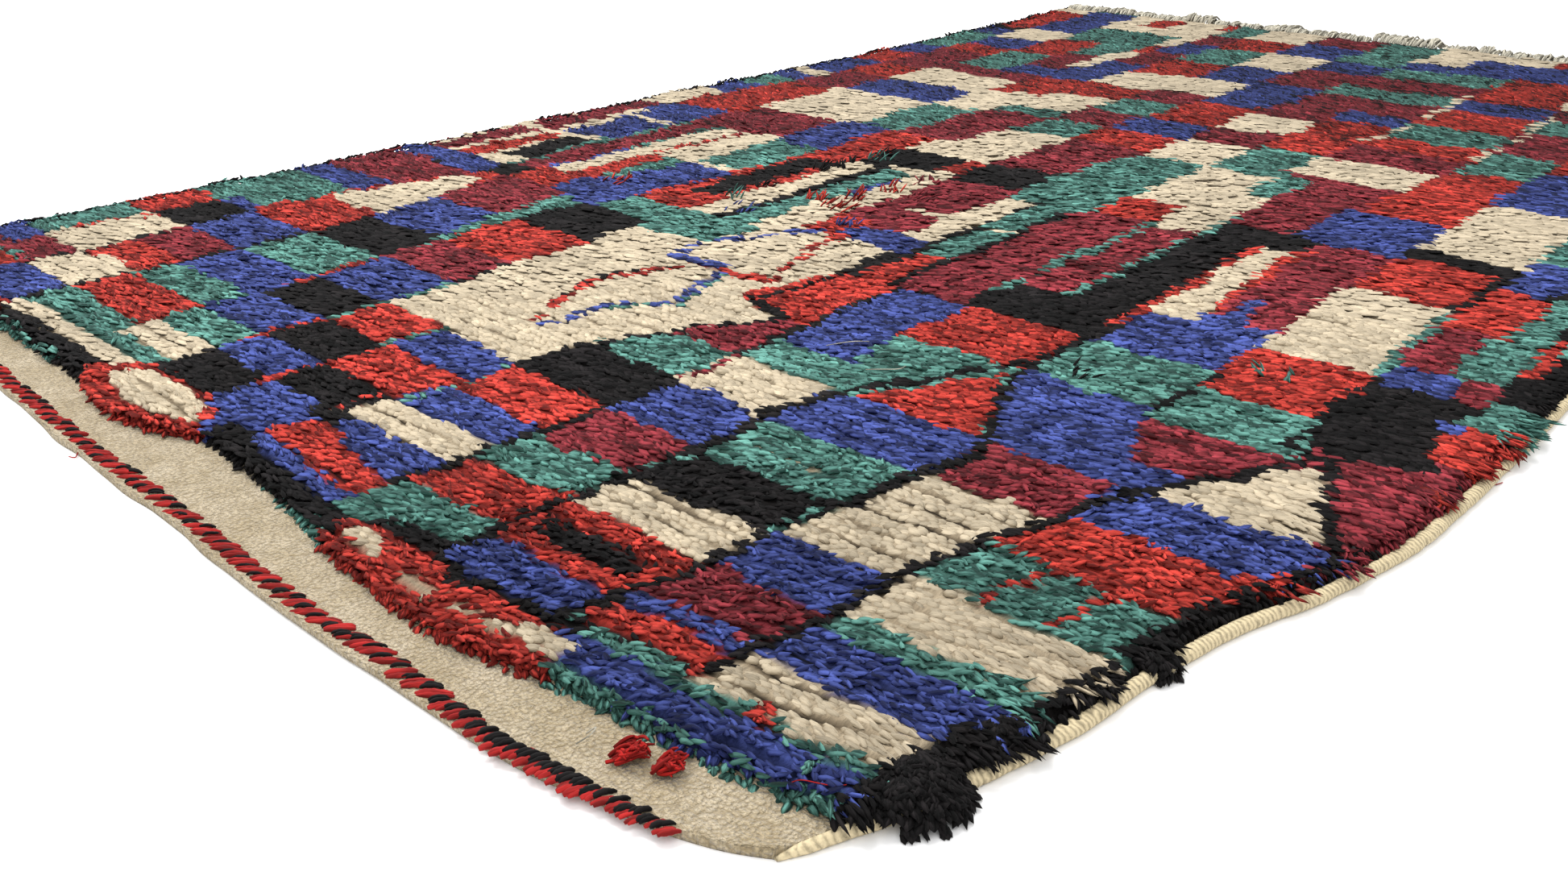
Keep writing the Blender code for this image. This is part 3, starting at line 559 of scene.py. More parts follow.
def soft_noise(x, y, cell, seed):
    """Smooth noise between -1 and 1 over the plan, with lumps about as large as cell."""
    x = np.asarray(x, float) / cell + 1000.0
    y = np.asarray(y, float) / cell + 1000.0
    size = 256
    lattice = np.random.default_rng(seed).uniform(-1.0, 1.0, (size, size))
    column = np.floor(x).astype(int)
    row = np.floor(y).astype(int)
    u = x - column
    v = y - row
    u = u * u * (3 - 2 * u)
    v = v * v * (3 - 2 * v)
    column, row = column % size, row % size
    right, far = (column + 1) % size, (row + 1) % size
    near_side = lattice[column, row] * (1 - u) + lattice[right, row] * u
    far_side = lattice[column, far] * (1 - u) + lattice[right, far] * u
    return near_side * (1 - v) + far_side * v


def layered_noise(x, y, layers, start=0.0):
    """A start value with layers of soft noise added."""
    for strength, cell, seed in layers:
        start = start + strength * soft_noise(x, y, cell, seed)
    return start


def rising(value, start, reach):
    """A value that grows from 0 to 1 over a reach."""
    return np.clip((value - start) / reach, 0.0, 1.0)


def ground_side(along, side, cord_width):
    """Where the cloth ends on one side, a gap short of the side cord."""
    face = read_curve(SIDES, along, 2 if side > 0 else 1)
    return face - side * (cord_width + GAP)


def cloth_point(fraction, along, cord_width):
    """Where the cloth lies in plan, from its fraction of the width and the distance along it."""
    left = ground_side(along, -1, cord_width)
    right = ground_side(along, 1, cord_width)
    across = left + (right - left) * fraction
    fade = np.maximum(0.0, 1.0 - along / BARE_CURVE_REACH)
    bow = read_curve(BARE_EDGE, across) * fade * fade
    far = FAR_EDGE_WAVE * uneven(across * 2.2, 3.0) * np.maximum(0.0, along / RUG_LENGTH - 0.8) * 5.0
    return across, along + bow + far


def band_lift(fraction, along):
    """How far the bare end stands off the floor, in two soft waves that die out inwards."""
    wave = np.sin(fraction * BARE_WAVES + BARE_WAVE_START)
    edge = BARE_LIFT * np.maximum(0.0, wave) * np.sin(np.pi * np.clip(fraction, 0, 1))
    places = (0.0, BARE_LIFT_REACH, BARE_LIFT_END)
    return edge * np.interp(along, places, (1.0, BARE_LIFT_INNER, 0.0))


def shagginess(across, forward):
    """How shaggy the pile is: 1 in the shaggy middle, and less all round."""
    dx = (across - SHAGGY_MIDDLE[0]) / SHAGGY_REACH[0]
    dy = (forward - SHAGGY_MIDDLE[1]) / SHAGGY_REACH[1]
    return np.exp(-dx * dx - dy * dy)


def pile_top(across, forward, pile):
    """The height of the pile's crests over the floor."""
    height = pile.crest + pile.shaggy_extra * shagginess(across, forward)
    height += LUMP * uneven(across * 17.0 + forward * 9.0, 1.0)
    return height + LUMP * 0.6 * uneven(forward * 31.0 - across * 11.0, 5.0)


def pile_surface(across, forward, phase, pile):
    """The pile's height at a phase of its row: a soft roll, highest near its front, between two creases."""
    step = ROW_STEP * (0.80 + 0.5 * soft_noise(across, forward, 0.045, 43))
    roll = ((phase - ROW_FRONT) / (1 - ROW_FRONT)) ** 2
    return pile_top(across, forward, pile) - step * roll + 0.0010 * soft_noise(across, forward, 0.020, 44)


@functools.lru_cache
def cad_shift():
    """How far the solids stand from the rug's own measures, from the box of the rug's side cords and edge."""
    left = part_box("selvedge_left")[0].x
    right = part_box("selvedge_right")[1].x
    across = (left - SIDES[-1][1] + right - SIDES[-1][2]) / 2
    edge = min(row[1] for row in BARE_EDGE)
    return np.array([across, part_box("rug")[0].y - edge, 0.0])


# The patchwork


def inside(corners, x, y):
    """Which places lie inside a closed outline."""
    result = np.zeros(x.shape, bool)
    for (x0, y0), (x1, y1) in zip(corners, corners[1:] + corners[:1]):
        crosses = (y0 > y) != (y1 > y)
        if y0 != y1:
            result ^= crosses & (x < x0 + (y - y0) * (x1 - x0) / (y1 - y0))
    return result


def near_line(points, width, x, y):
    """Which places lie within half the width of a line through points."""
    result = np.zeros(x.shape, bool)
    for (x0, y0), (x1, y1) in zip(points, points[1:]):
        dx, dy = x1 - x0, y1 - y0
        part = np.clip(((x - x0) * dx + (y - y0) * dy) / (dx * dx + dy * dy), 0.0, 1.0)
        distance = np.hypot(x - x0 - part * dx, y - y0 - part * dy)
        result |= distance < width / 2
    return result


def colour_at(across, forward):
    """The number of the pile's colour at each place of the patchwork."""
    x = layered_noise(across, forward, EDGE_DRIFT_ACROSS, across * CENTIMETRES)
    y = layered_noise(across, forward, EDGE_DRIFT_FORWARD, forward * CENTIMETRES)
    colour = np.full(x.shape, BLACK)
    for stations, strips in ZONES:
        left = np.full(x.shape, -1000.0)
        for sides, blocks in strips:
            right = np.interp(y, stations, sides)
            start, *parts = blocks.split()
            ends = np.array([float(part[1:]) for part in parts])
            letters = np.array([COLOUR_LETTERS.index(part[0]) for part in parts])
            mine = (x >= left) & (x < right) & (y >= float(start)) & (y < ends[-1])
            colour[mine] = letters[np.searchsorted(ends, y[mine], side="right")]
            left = right
    for letter, corners in FIGURES:
        colour[inside(corners, x, y)] = COLOUR_LETTERS.index(letter)
    for letter, width, points in LINES:
        colour[near_line(points, width, x, y)] = COLOUR_LETTERS.index(letter)
    return colour


# Meshes


def add_mesh(name, points, faces, materials, slots=None, values=None):
    """A mesh object from arrays: faces is a list of arrays with as many columns as the faces have corners."""
    mesh = bpy.data.meshes.new(name)
    faces = [part for part in faces if len(part)]
    corners = np.concatenate([part.ravel() for part in faces])
    totals = np.concatenate([np.full(len(part), part.shape[1]) for part in faces])
    starts = np.concatenate([[0], np.cumsum(totals)[:-1]])
    mesh.vertices.add(len(points))
    mesh.vertices.foreach_set("co", np.asarray(points, np.float32).ravel())
    mesh.loops.add(len(corners))
    mesh.loops.foreach_set("vertex_index", corners.astype(np.int32))
    mesh.polygons.add(len(totals))
    mesh.polygons.foreach_set("loop_start", starts.astype(np.int32))
    for material in materials:
        mesh.materials.append(material)
    if slots is not None:
        mesh.polygons.foreach_set("material_index", slots.astype(np.int32))
    mesh.update(calc_edges=True)
    mesh.shade_smooth()
    for key, data in (values or {}).items():
        kind = "FLOAT" if data.ndim == 1 else "FLOAT_VECTOR"
        layer = mesh.attributes.new(key, kind, "POINT")
        layer.data.foreach_set("value" if data.ndim == 1 else "vector", data.astype(np.float32).ravel())
    mesh.validate()
    obj = bpy.data.objects.new(name, mesh)
    bpy.context.scene.collection.objects.link(obj)
    return obj


def petal_faces(rings):
    """Triangles and quads of a petal: a root, rings of three points across and a tip."""
    tip = 1 + 3 * rings
    triangles = [(0, 2, 1), (0, 3, 2), (tip - 3, tip - 2, tip), (tip - 2, tip - 1, tip)]
    quads = []
    for ring in range(rings - 1):
        low = 1 + 3 * ring
        quads += [(low, low + 1, low + 4, low + 3), (low + 1, low + 2, low + 5, low + 4)]
    return np.array(triangles), np.array(quads).reshape(-1, 4)


def drop_faces(sides, rings):
    """Triangles and quads of a closed drop: a root, rings of points round it and a tip."""
    tip = 1 + sides * rings
    last = tip - sides
    triangles = []
    quads = []
    for k in range(sides):
        after = (k + 1) % sides
        triangles.append((0, 1 + after, 1 + k))
        triangles.append((last + k, last + after, tip))
        for ring in range(rings - 1):
            low = 1 + sides * ring
            quads.append((low + k, low + after, low + sides + after, low + sides + k))
    return np.array(triangles), np.array(quads).reshape(-1, 4)


def tube_faces(sides, rings):
    """Triangles over both ends of a tube and quads between its rings."""
    k = np.arange(sides)
    after = (k + 1) % sides
    low = (np.arange(rings - 1) * sides)[:, None]
    quads = np.stack([low + k, low + sides + k, low + sides + after, low + after], axis=2).reshape(-1, 4)
    last = (rings - 1) * sides
    ends = [(0, i, i + 1) for i in range(1, sides - 1)]
    ends += [(last, last + i + 1, last + i) for i in range(1, sides - 1)]
    return np.array(ends), quads


class Yarns:
    """Collects yarns, as closed tubes, into one mesh."""

    # A tube whose direction is closer than this to upright takes its sides from another axis
    UPRIGHT = 0.15
    # How far apart the fibres of two tubes lie in the wool's noise
    FIBRE_STEP = 37.0

    def __init__(self):
        self.points = []
        self.triangles = []
        self.quads = []
        self.tones = []
        self.lays = []
        self.slots = ([], [])
        self.count = 0

    def tube(self, path, radius, sides, tone=0.5, slot=0, flat=1.0):
        """A tube along a path with a radius at each of its points, closed at its ends by short caps."""
        path = np.asarray(path, float)
        radius = np.broadcast_to(np.asarray(radius, float), (len(path),))
        tangent = np.gradient(path, axis=0)
        tangent /= np.linalg.norm(tangent, axis=1)[:, None] + 1e-12
        sideways = np.cross(tangent, (0.0, 0.0, 1.0))
        short = np.linalg.norm(sideways, axis=1) < self.UPRIGHT
        sideways[short] = np.cross(tangent[short], (0.0, 1.0, 0.0))
        sideways /= np.linalg.norm(sideways, axis=1)[:, None]
        upward = np.cross(sideways, tangent)
        angle = 2 * np.pi * np.arange(sides) / sides
        ring = (
            sideways[:, None, :] * np.cos(angle)[None, :, None]
            + upward[:, None, :] * np.sin(angle)[None, :, None] * flat
        )
        points = path[:, None, :] + ring * radius[:, None, None]
        rings = len(path)
        length = np.concatenate([[0.0], np.cumsum(np.linalg.norm(np.diff(path, axis=0), axis=1))])
        lay = np.zeros((rings, sides, 3))
        lay[:, :, 0] = length[:, None]
        lay[:, :, 1] = (angle / (2 * np.pi))[None, :] * radius.mean() * 4
        lay[:, :, 2] = tone * self.FIBRE_STEP
        self.points.append(points.reshape(-1, 3))
        self.lays.append(lay.reshape(-1, 3))
        self.tones.append(np.full(rings * sides, tone))
        for bag, slots, part in zip((self.triangles, self.quads), self.slots, tube_faces(sides, rings)):
            bag.append(part + self.count)
            slots.append(np.full(len(part), slot))
        self.count += rings * sides

    def build(self, name, materials):
        values = {
            "tone": np.concatenate(self.tones),
            "lay": np.concatenate(self.lays),
            # Yarns carry no painted shade: their painted light is 1 all over
            "depth": np.ones(self.count),
        }
        slots = np.concatenate(self.slots[0] + self.slots[1])
        faces = [np.concatenate(self.triangles), np.concatenate(self.quads)]
        return add_mesh(name, np.concatenate(self.points), faces, materials, slots, values)


# Materials


def math_node(tree, operation, first, second=None, third=None):
    node = tree.nodes.new("ShaderNodeMath")
    node.operation = operation
    for socket, value in zip(node.inputs, (first, second, third)):
        if value is None:
            continue
        if isinstance(value, (int, float)):
            socket.default_value = value
        else:
            tree.links.new(value, socket)
    return node.outputs[0]


def mix_node(tree, amount, first, second, blend="MIX"):
    node = tree.nodes.new("ShaderNodeMix")
    node.data_type = "RGBA"
    node.blend_type = blend
    for socket, value in ((node.inputs[0], amount), (node.inputs[6], first), (node.inputs[7], second)):
        if isinstance(value, (int, float)):
            socket.default_value = value
        elif isinstance(value, tuple):
            socket.default_value = (*value, 1.0)
        else:
            tree.links.new(value, socket)
    return node.outputs[2]


def noise_node(tree, vector, scale, detail=2.0, roughness=0.5):
    node = tree.nodes.new("ShaderNodeTexNoise")
    node.inputs["Scale"].default_value = scale
    node.inputs["Detail"].default_value = detail
    node.inputs["Roughness"].default_value = roughness
    tree.links.new(vector, node.inputs["Vector"])
    return node.outputs["Fac"]


def mapped(tree, vector, scale):
    node = tree.nodes.new("ShaderNodeMapping")
    node.inputs["Scale"].default_value = scale
    tree.links.new(vector, node.inputs["Vector"])
    return node.outputs["Vector"]


def ranged(tree, value, low, high, to_low, to_high):
    node = tree.nodes.new("ShaderNodeMapRange")
    tree.links.new(value, node.inputs["Value"])
    for key, number in (("From Min", low), ("From Max", high), ("To Min", to_low), ("To Max", to_high)):
        node.inputs[key].default_value = number
    return node.outputs["Result"]


def attribute_node(tree, key, output="Fac"):
    node = tree.nodes.new("ShaderNodeAttribute")
    node.attribute_name = key
    return node.outputs[output]


def scaled(tree, colour, amount):
    """A colour times a value."""
    node = tree.nodes.new("ShaderNodeVectorMath")
    node.operation = "SCALE"
    tree.links.new(colour, node.inputs[0])
    tree.links.new(amount, node.inputs["Scale"])
    return node.outputs[0]


def new_material(name):
    """A material with its node tree and its Principled shader."""
    material = bpy.data.materials.new(name)
    material.use_nodes = True
    return material, material.node_tree, material.node_tree.nodes["Principled BSDF"]


def finish(tree, shader, colour, height, relief, plain, strength=1.0):
    """Gives a Principled shader its colour, its relief and the values that are the same all over."""
    bump = tree.nodes.new("ShaderNodeBump")
    bump.inputs["Strength"].default_value = strength
    bump.inputs["Distance"].default_value = relief
    tree.links.new(height, bump.inputs["Height"])
    tree.links.new(bump.outputs["Normal"], shader.inputs["Normal"])
    tree.links.new(colour, shader.inputs["Base Color"])
    for label, value in plain.items():
        shader.inputs[label].default_value = value


def new_group(name, inputs, outputs):
    group = bpy.data.node_groups.new(name, "ShaderNodeTree")
    for kind, label, default in inputs:
        socket = group.interface.new_socket(name=label, in_out="INPUT", socket_type="NodeSocket" + kind)
        if default is not None:
            socket.default_value = default
    for kind, label in outputs:
        group.interface.new_socket(name=label, in_out="OUTPUT", socket_type="NodeSocket" + kind)
    return group, group.nodes.new("NodeGroupInput"), group.nodes.new("NodeGroupOutput")


# How often fibres and spun strands repeat along a yarn and round it, and how much lighter or darker they are,
# partly as uneven fibres and partly as painted shade between strands and painted highlight on them
FIBRE_SCALE = (90.0, 900.0, 1.0)
STRAND_SCALE = (45.0, 330.0, 1.0)
FIBRE_CONTRAST = (0.41, 0.59, -0.48, 0.34)


def yarn_group():
    """Spun wool: fibres along the yarn, painted shade at roots and edges, and yarns that differ in tone."""
    if "spun_wool" in bpy.data.node_groups:
        return bpy.data.node_groups["spun_wool"]
    tree, given, result = new_group(
        "spun_wool",
        (
            ("Color", "Colour", (0.5, 0.5, 0.5, 1.0)),
            ("Color", "Deep", (0.1, 0.1, 0.1, 1.0)),
            ("Vector", "Lay", None),
            ("Float", "Tone", 0.5),
            ("Float", "Depth", 1.0),
            ("Float", "Variety", 0.3),
            ("Float", "Streaks", 1.0),
        ),
        (("Color", "Colour"), ("Float", "Height")),
    )
    fibres = noise_node(tree, mapped(tree, given.outputs["Lay"], FIBRE_SCALE), 1.0, 2.0)
    strands = noise_node(tree, mapped(tree, given.outputs["Lay"], STRAND_SCALE), 1.0, 1.0)
    height = math_node(tree, "ADD", fibres, math_node(tree, "MULTIPLY", strands, 2.0))
    # Streaks: partly uneven fibres, partly painted shade between strands and painted highlight on them
    contrast = ranged(tree, math_node(tree, "DIVIDE", height, 3.0), *FIBRE_CONTRAST)
    streak = math_node(tree, "MULTIPLY_ADD", contrast, given.outputs["Streaks"], 1.0)
    spread = math_node(tree, "SUBTRACT", given.outputs["Tone"], 0.5)
    lighter = math_node(tree, "MULTIPLY_ADD", spread, given.outputs["Variety"], 1.0)
    lit = math_node(tree, "MULTIPLY", lighter, streak)
    toned = scaled(tree, given.outputs["Colour"], lit)
    # Painted shade: where a point's painted light is low, at roots, edges and creases, the shade colour shows
    seen = math_node(tree, "SMOOTH_MIN", given.outputs["Depth"], 1.0, 0.1)
    shaded = mix_node(tree, seen, given.outputs["Deep"], toned)
    tree.links.new(shaded, result.inputs["Colour"])
    tree.links.new(height, result.inputs["Height"])
    return tree


# The plain weave: how far its threads stray, how much closer the weft is than the warp, and the pebbled look
# that the fulled threads have
STRAY_SCALE = 55.0
STRAY_REACH = (0.0050, 0.0050, 0.0)
WEFT_CLOSER = 1.35
PEBBLE_SCALE = 330.0
PEBBLE_DEPTH = -1.7
# The gaps between pebbles and between threads, where painted shade is laid
PEBBLE_GAPS = (0.40, 0.68, 0.0, 0.75)
THREAD_GAPS = (0.15, 0.65, 0.45, 0.0)


def weave_group():
    """Coarse plain weave over the plan: threads that pass over and under each other, a little uneven."""
    if "plain_weave" in bpy.data.node_groups:
        return bpy.data.node_groups["plain_weave"]
    tree, given, result = new_group(
        "plain_weave",
        (("Vector", "Place", None), ("Float", "Thread", 0.0025)),
        (("Float", "Height"), ("Float", "Gap")),
    )
    drift = tree.nodes.new("ShaderNodeTexNoise")
    drift.inputs["Scale"].default_value = STRAY_SCALE
    drift.inputs["Detail"].default_value = 2.0
    tree.links.new(given.outputs["Place"], drift.inputs["Vector"])
    push = tree.nodes.new("ShaderNodeVectorMath")
    push.operation = "MULTIPLY_ADD"
    tree.links.new(drift.outputs["Color"], push.inputs[0])
    push.inputs[1].default_value = STRAY_REACH
    tree.links.new(given.outputs["Place"], push.inputs[2])
    apart = tree.nodes.new("ShaderNodeSeparateXYZ")
    tree.links.new(push.outputs[0], apart.inputs[0])
    turn = []
    for axis, squeeze in (("X", 1.0), ("Y", WEFT_CLOSER)):
        steps = math_node(tree, "DIVIDE", apart.outputs[axis], given.outputs["Thread"])
        turn.append(math_node(tree, "MULTIPLY", steps, math.pi * squeeze))
    waves = [math_node(tree, "SINE", angle) for angle in turn]
    over = math_node(tree, "MULTIPLY", waves[0], waves[1])
    warp = math_node(tree, "MULTIPLY_ADD", over, 0.5, 0.5)
    weft = math_node(tree, "MULTIPLY_ADD", over, -0.5, 0.5)
    rounds = [math_node(tree, "ABSOLUTE", math_node(tree, "COSINE", angle)) for angle in turn]
    first = math_node(tree, "MULTIPLY", warp, rounds[0])
    second = math_node(tree, "MULTIPLY", weft, rounds[1])
    height = math_node(tree, "MAXIMUM", first, second)
    pebbles = tree.nodes.new("ShaderNodeTexVoronoi")
    pebbles.inputs["Scale"].default_value = PEBBLE_SCALE
    tree.links.new(push.outputs[0], pebbles.inputs["Vector"])
    fuzz = noise_node(tree, given.outputs["Place"], 900.0, 3.0, 0.6)
    threads = math_node(tree, "MULTIPLY_ADD", height, 0.5, math_node(tree, "MULTIPLY", fuzz, 0.5))
    total = math_node(tree, "MULTIPLY_ADD", pebbles.outputs["Distance"], PEBBLE_DEPTH, threads)
    tree.links.new(total, result.inputs["Height"])
    # Where painted shade goes: between the pebbles and in the holes between the threads
    between = ranged(tree, pebbles.outputs["Distance"], *PEBBLE_GAPS)
    holes = ranged(tree, height, *THREAD_GAPS)
    tree.links.new(math_node(tree, "MAXIMUM", between, holes), result.inputs["Gap"])
    return tree


def painted_shade_colour(colour):
    """The colour of the wool's painted shade, as it looks down between its yarns where light has bounced more
    than once.
    """
    pale = min(colour) / max(colour)
    return tuple((0.26 + 0.12 * pale**2) * c * (0.30 + 0.70 * c / max(colour)) for c in colour)


def wool_material(name, colour, variety=0.34, sheen=0.22, bump=0.0016, streaks=1.0):
    """Wool yarn: a Principled shader fed by the spun_wool group."""
    material, tree, shader = new_material(name)
    yarn = tree.nodes.new("ShaderNodeGroup")
    yarn.node_tree = yarn_group()
    yarn.inputs["Colour"].default_value = (*colour, 1.0)
    # The colour of the painted shade, and below, for each point, how much painted light there is
    yarn.inputs["Deep"].default_value = (*painted_shade_colour(colour), 1.0)
    yarn.inputs["Variety"].default_value = variety
    yarn.inputs["Streaks"].default_value = streaks
    for label, key, output in (("Tone", "tone", "Fac"), ("Depth", "depth", "Fac"), ("Lay", "lay", "Vector")):
        tree.links.new(attribute_node(tree, key, output), yarn.inputs[label])
    plain = {
        "Roughness": 0.86,
        "Specular IOR Level": 0.13,
        "Sheen Weight": sheen,
        "Sheen Roughness": 0.5,
        "Sheen Tint": (*[min(1.0, 0.08 + 1.2 * c) for c in colour], 1.0),
    }
    finish(tree, shader, yarn.outputs["Colour"], yarn.outputs["Height"], bump, plain, strength=0.9)
    return material


def shaded_colour(colour, shades):
    return tuple(min(1.0, c * shade) for c, shade in zip(colour, shades))


def weave_material(name, colour, thread):
    """Flat-woven wool: the plain_weave group, with soft darker and lighter patches and painted shade in its
    gaps.
    """
    material, tree, shader = new_material(name)
    place = tree.nodes.new("ShaderNodeTexCoord").outputs["Object"]
    weave = tree.nodes.new("ShaderNodeGroup")
    weave.node_tree = weave_group()
    weave.inputs["Thread"].default_value = thread
    tree.links.new(place, weave.inputs["Place"])
    patches = ranged(tree, noise_node(tree, place, 26.0, 4.0, 0.62), 0.36, 0.64, 0.0, 1.0)
    darker_patches = shaded_colour(colour, (0.80, 0.76, 0.66))
    lighter_patches = shaded_colour(colour, (1.10, 1.10, 1.10))
    mottled = mix_node(tree, patches, darker_patches, lighter_patches)
    uneven_threads = noise_node(tree, mapped(tree, place, (220.0, 700.0, 700.0)), 1.0, 2.0)
    slubs = ranged(tree, uneven_threads, 0.3, 0.7, 0.86, 1.08)
    shaded = mix_node(tree, 1.0, mottled, slubs, "MULTIPLY")
    # Painted shade: a darker colour in the gaps between threads and pebbles
    gaps = math_node(tree, "MULTIPLY", weave.outputs["Gap"], 0.85)
    base = mix_node(tree, gaps, shaded, shaded_colour(colour, (0.42, 0.37, 0.28)))
    plain = {"Roughness": 0.92, "Specular IOR Level": 0.2, "Sheen Weight": 0.2}
    finish(tree, shader, base, weave.outputs["Height"], 0.0022, plain)
    return material


def cord_material(name, colour):
    """Wool wound round a cord: turns of unequal width, shown by their relief and the shade between them."""
    material, tree, shader = new_material(name)
    place = tree.nodes.new("ShaderNodeTexCoord").outputs["Object"]
    drift = noise_node(tree, place, 120.0, 2.0)
    count = math_node(tree, "MULTIPLY_ADD", drift, 1.6, attribute_node(tree, "turns"))
    ridge = math_node(tree, "ABSOLUTE", math_node(tree, "SINE", math_node(tree, "MULTIPLY", count, math.pi)))
    fuzz = noise_node(tree, place, 700.0, 3.0, 0.6)
    height = math_node(tree, "MULTIPLY_ADD", fuzz, 0.45, ridge)
    shade = ranged(tree, height, 0.15, 1.0, 0.74, 1.04)
    toned = mix_node(tree, 1.0, colour, shade, "MULTIPLY")
    finish(tree, shader, toned, height, 0.0013, {"Roughness": 0.92, "Specular IOR Level": 0.2})
    return material


def mat_material():
    """Matted wool between the tufts: the block's colour, streaked along the nap, with painted shade in the
    creases.
    """
    material, tree, shader = new_material("pile_roots")
    place = tree.nodes.new("ShaderNodeTexCoord").outputs["Object"]
    fluff = noise_node(tree, mapped(tree, place, (330.0, 110.0, 330.0)), 1.0, 3.0, 0.6)
    streaked = ranged(tree, fluff, 0.3, 0.7, 0.50, 1.0)
    shade = math_node(tree, "MULTIPLY", streaked, attribute_node(tree, "root_shade"))
    toned = scaled(tree, attribute_node(tree, "root_colour", "Color"), shade)
    finish(tree, shader, toned, fluff, 0.0025, {"Roughness": 0.95, "Specular IOR Level": 0.1})
    return material


def settle(obj, slot, *nodes):
    """Finishes a piece: it rides on the rug's body and stands for its solids, which it hides."""
    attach(obj, "root")
    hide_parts(*nodes)


# The pieces


def grid_faces(columns, rows, start=0):
    """Quads over a grid of points that is stored row by row."""
    k = np.arange(columns - 1)[None, :] + (np.arange(rows - 1) * columns)[:, None] + start
    return np.stack([k, k + 1, k + 1 + columns, k + columns], axis=2).reshape(-1, 4)


def closed_slab(across, forward, top, bottom):
    """Points and faces of a closed slab over a grid: its top, its underside and the wall round both."""
    rows, columns = across.shape
    upper = np.stack([across, forward, top], axis=2).reshape(-1, 3)
    lower = np.stack([across, forward, bottom], axis=2).reshape(-1, 3)
    count = len(upper)
    faces = grid_faces(columns, rows)
    rim = np.concatenate(
        [
            np.arange(columns),
            columns * np.arange(1, rows) + columns - 1,
            columns * (rows - 1) + np.arange(columns - 2, -1, -1),
            columns * np.arange(rows - 2, 0, -1),
        ]
    )
    after = np.roll(rim, -1)
    wall = np.stack([rim + count, after + count, after, rim], axis=1)
    return np.concatenate([upper, lower]), np.concatenate([faces, faces[:, ::-1] + count, wall])


# The ground is woven finely up to the pile and coarsely under it: from, to and step, then from and rows
GROUND_FINE = (0.0, 0.112, 0.004)
GROUND_COARSE = (0.12, 12)
GROUND_COLUMNS = 300
# The bare band: where it smooths out, how its edge wavers and curls up, and where it is puffed on the right
BARE_END = 0.075
BARE_FADE = 0.02
EDGE_WAVER = 0.0016
EDGE_CURL = 0.0012
EDGE_CURL_REACH = 0.008
PUFFED_START = 0.44
PUFFED_REACH = 0.08


class RUG_OT_weave_ground(bpy.types.Operator):
    """Weave the flat ground, which shows as the bare band at the near end"""

    bl_idname = "rug.weave_ground"
    bl_label = "Weave ground"

    def execute(self, context):
        cloth, trim = context.scene.rug_cloth, context.scene.rug_trim
        start, rows = GROUND_COARSE
        alongs = np.concatenate([np.arange(*GROUND_FINE), np.linspace(start, RUG_LENGTH, rows)])
        fraction, along = np.meshgrid(np.linspace(0.0, 1.0, GROUND_COLUMNS), alongs)
        across, forward = cloth_point(fraction, along, trim.cord_width)
        lift = band_lift(fraction, along)
        bare = rising(BARE_END - along, 0.0, BARE_FADE)
        lumps = layered_noise(across, forward, GROUND_LUMPS)
        corner = 0.8 + 0.5 * rising(across, 0.42, 0.10)
        at_edge = np.clip(1 - along / BARE_FADE, 0.0, 1.0)
        forward = forward + EDGE_WAVER * soft_noise(across, across * 0, 0.045, 5) * at_edge
        puffed = rising(across, PUFFED_START, PUFFED_REACH)
        knobs = 1 + soft_noise(across, along * 0.5, 0.007, 6)
        curled = np.clip(1 - along / (EDGE_CURL_REACH * (1 + puffed)), 0.0, 1.0)
        rolled = EDGE_CURL * (1 + 1.2 * puffed) * curled * knobs
        top = cloth.thickness + lift + (cloth.pucker * corner * (0.6 * lumps - 0.2) + rolled) * bare
        points, faces = closed_slab(across, forward, top, lift)
        material = weave_material("ground_weave", tuple(context.scene.rug_colours.ground), cloth.thread)
        obj = add_mesh("ground_cloth", points + cad_shift(), [faces], [material])
        settle(obj, "ground_wool", "rug")
        return {"FINISHED"}


def petal(rings, tip):
    """The points of a petal, from its root over its rings to its tip.

    A point says how far along it is, how far sideways, how high, how far below the ridge and how light it is
    painted, low at its root and edges for painted shade. A ring is the point on its right side, and then the
    last three values of the point on its ridge.
    """
    points = [(0.0, 0.0, 0.0, 0.0, 0.0)]
    for (along, side, *rest), ridge in rings:
        points += [(along, -side, *rest), (along, 0.0, *ridge), (along, side, *rest)]
    return (*points, tip)


ROUND_TUFT = petal(
    (
        ((0.26, 0.92, 0.70, 1.3, 0.00), (0.86, 0.0, 1.40)),
        ((0.64, 1.00, 0.90, 1.4, 0.00), (1.00, 0.0, 1.90)),
        ((0.91, 0.70, 0.62, 1.2, 0.00), (0.76, 0.0, 1.60)),
    ),
    (1.02, 0.00, 0.10, 0.6, 0.00),
)
POINTED_TUFT = petal(
    (
        ((0.22, 0.85, 0.74, 1.0, 0.05), (0.78, 0.0, 1.20)),
        ((0.57, 1.00, 1.00, 1.0, 0.15), (1.00, 0.0, 1.70)),
        ((0.85, 0.60, 0.66, 0.8, 0.25), (0.68, 0.0, 1.60)),
    ),
    (1.05, 0.00, 0.26, 0.0, 0.60),
)
PLAIN_TUFT = petal(
    (
        ((0.32, 1.00, 0.72, 1.0, 0.05), (0.84, 0.0, 1.50)),
        ((0.84, 0.78, 0.92, 1.0, 0.05), (1.00, 0.0, 1.90)),
    ),
    (1.02, 0.00, 0.42, 0.5, 0.00),
)
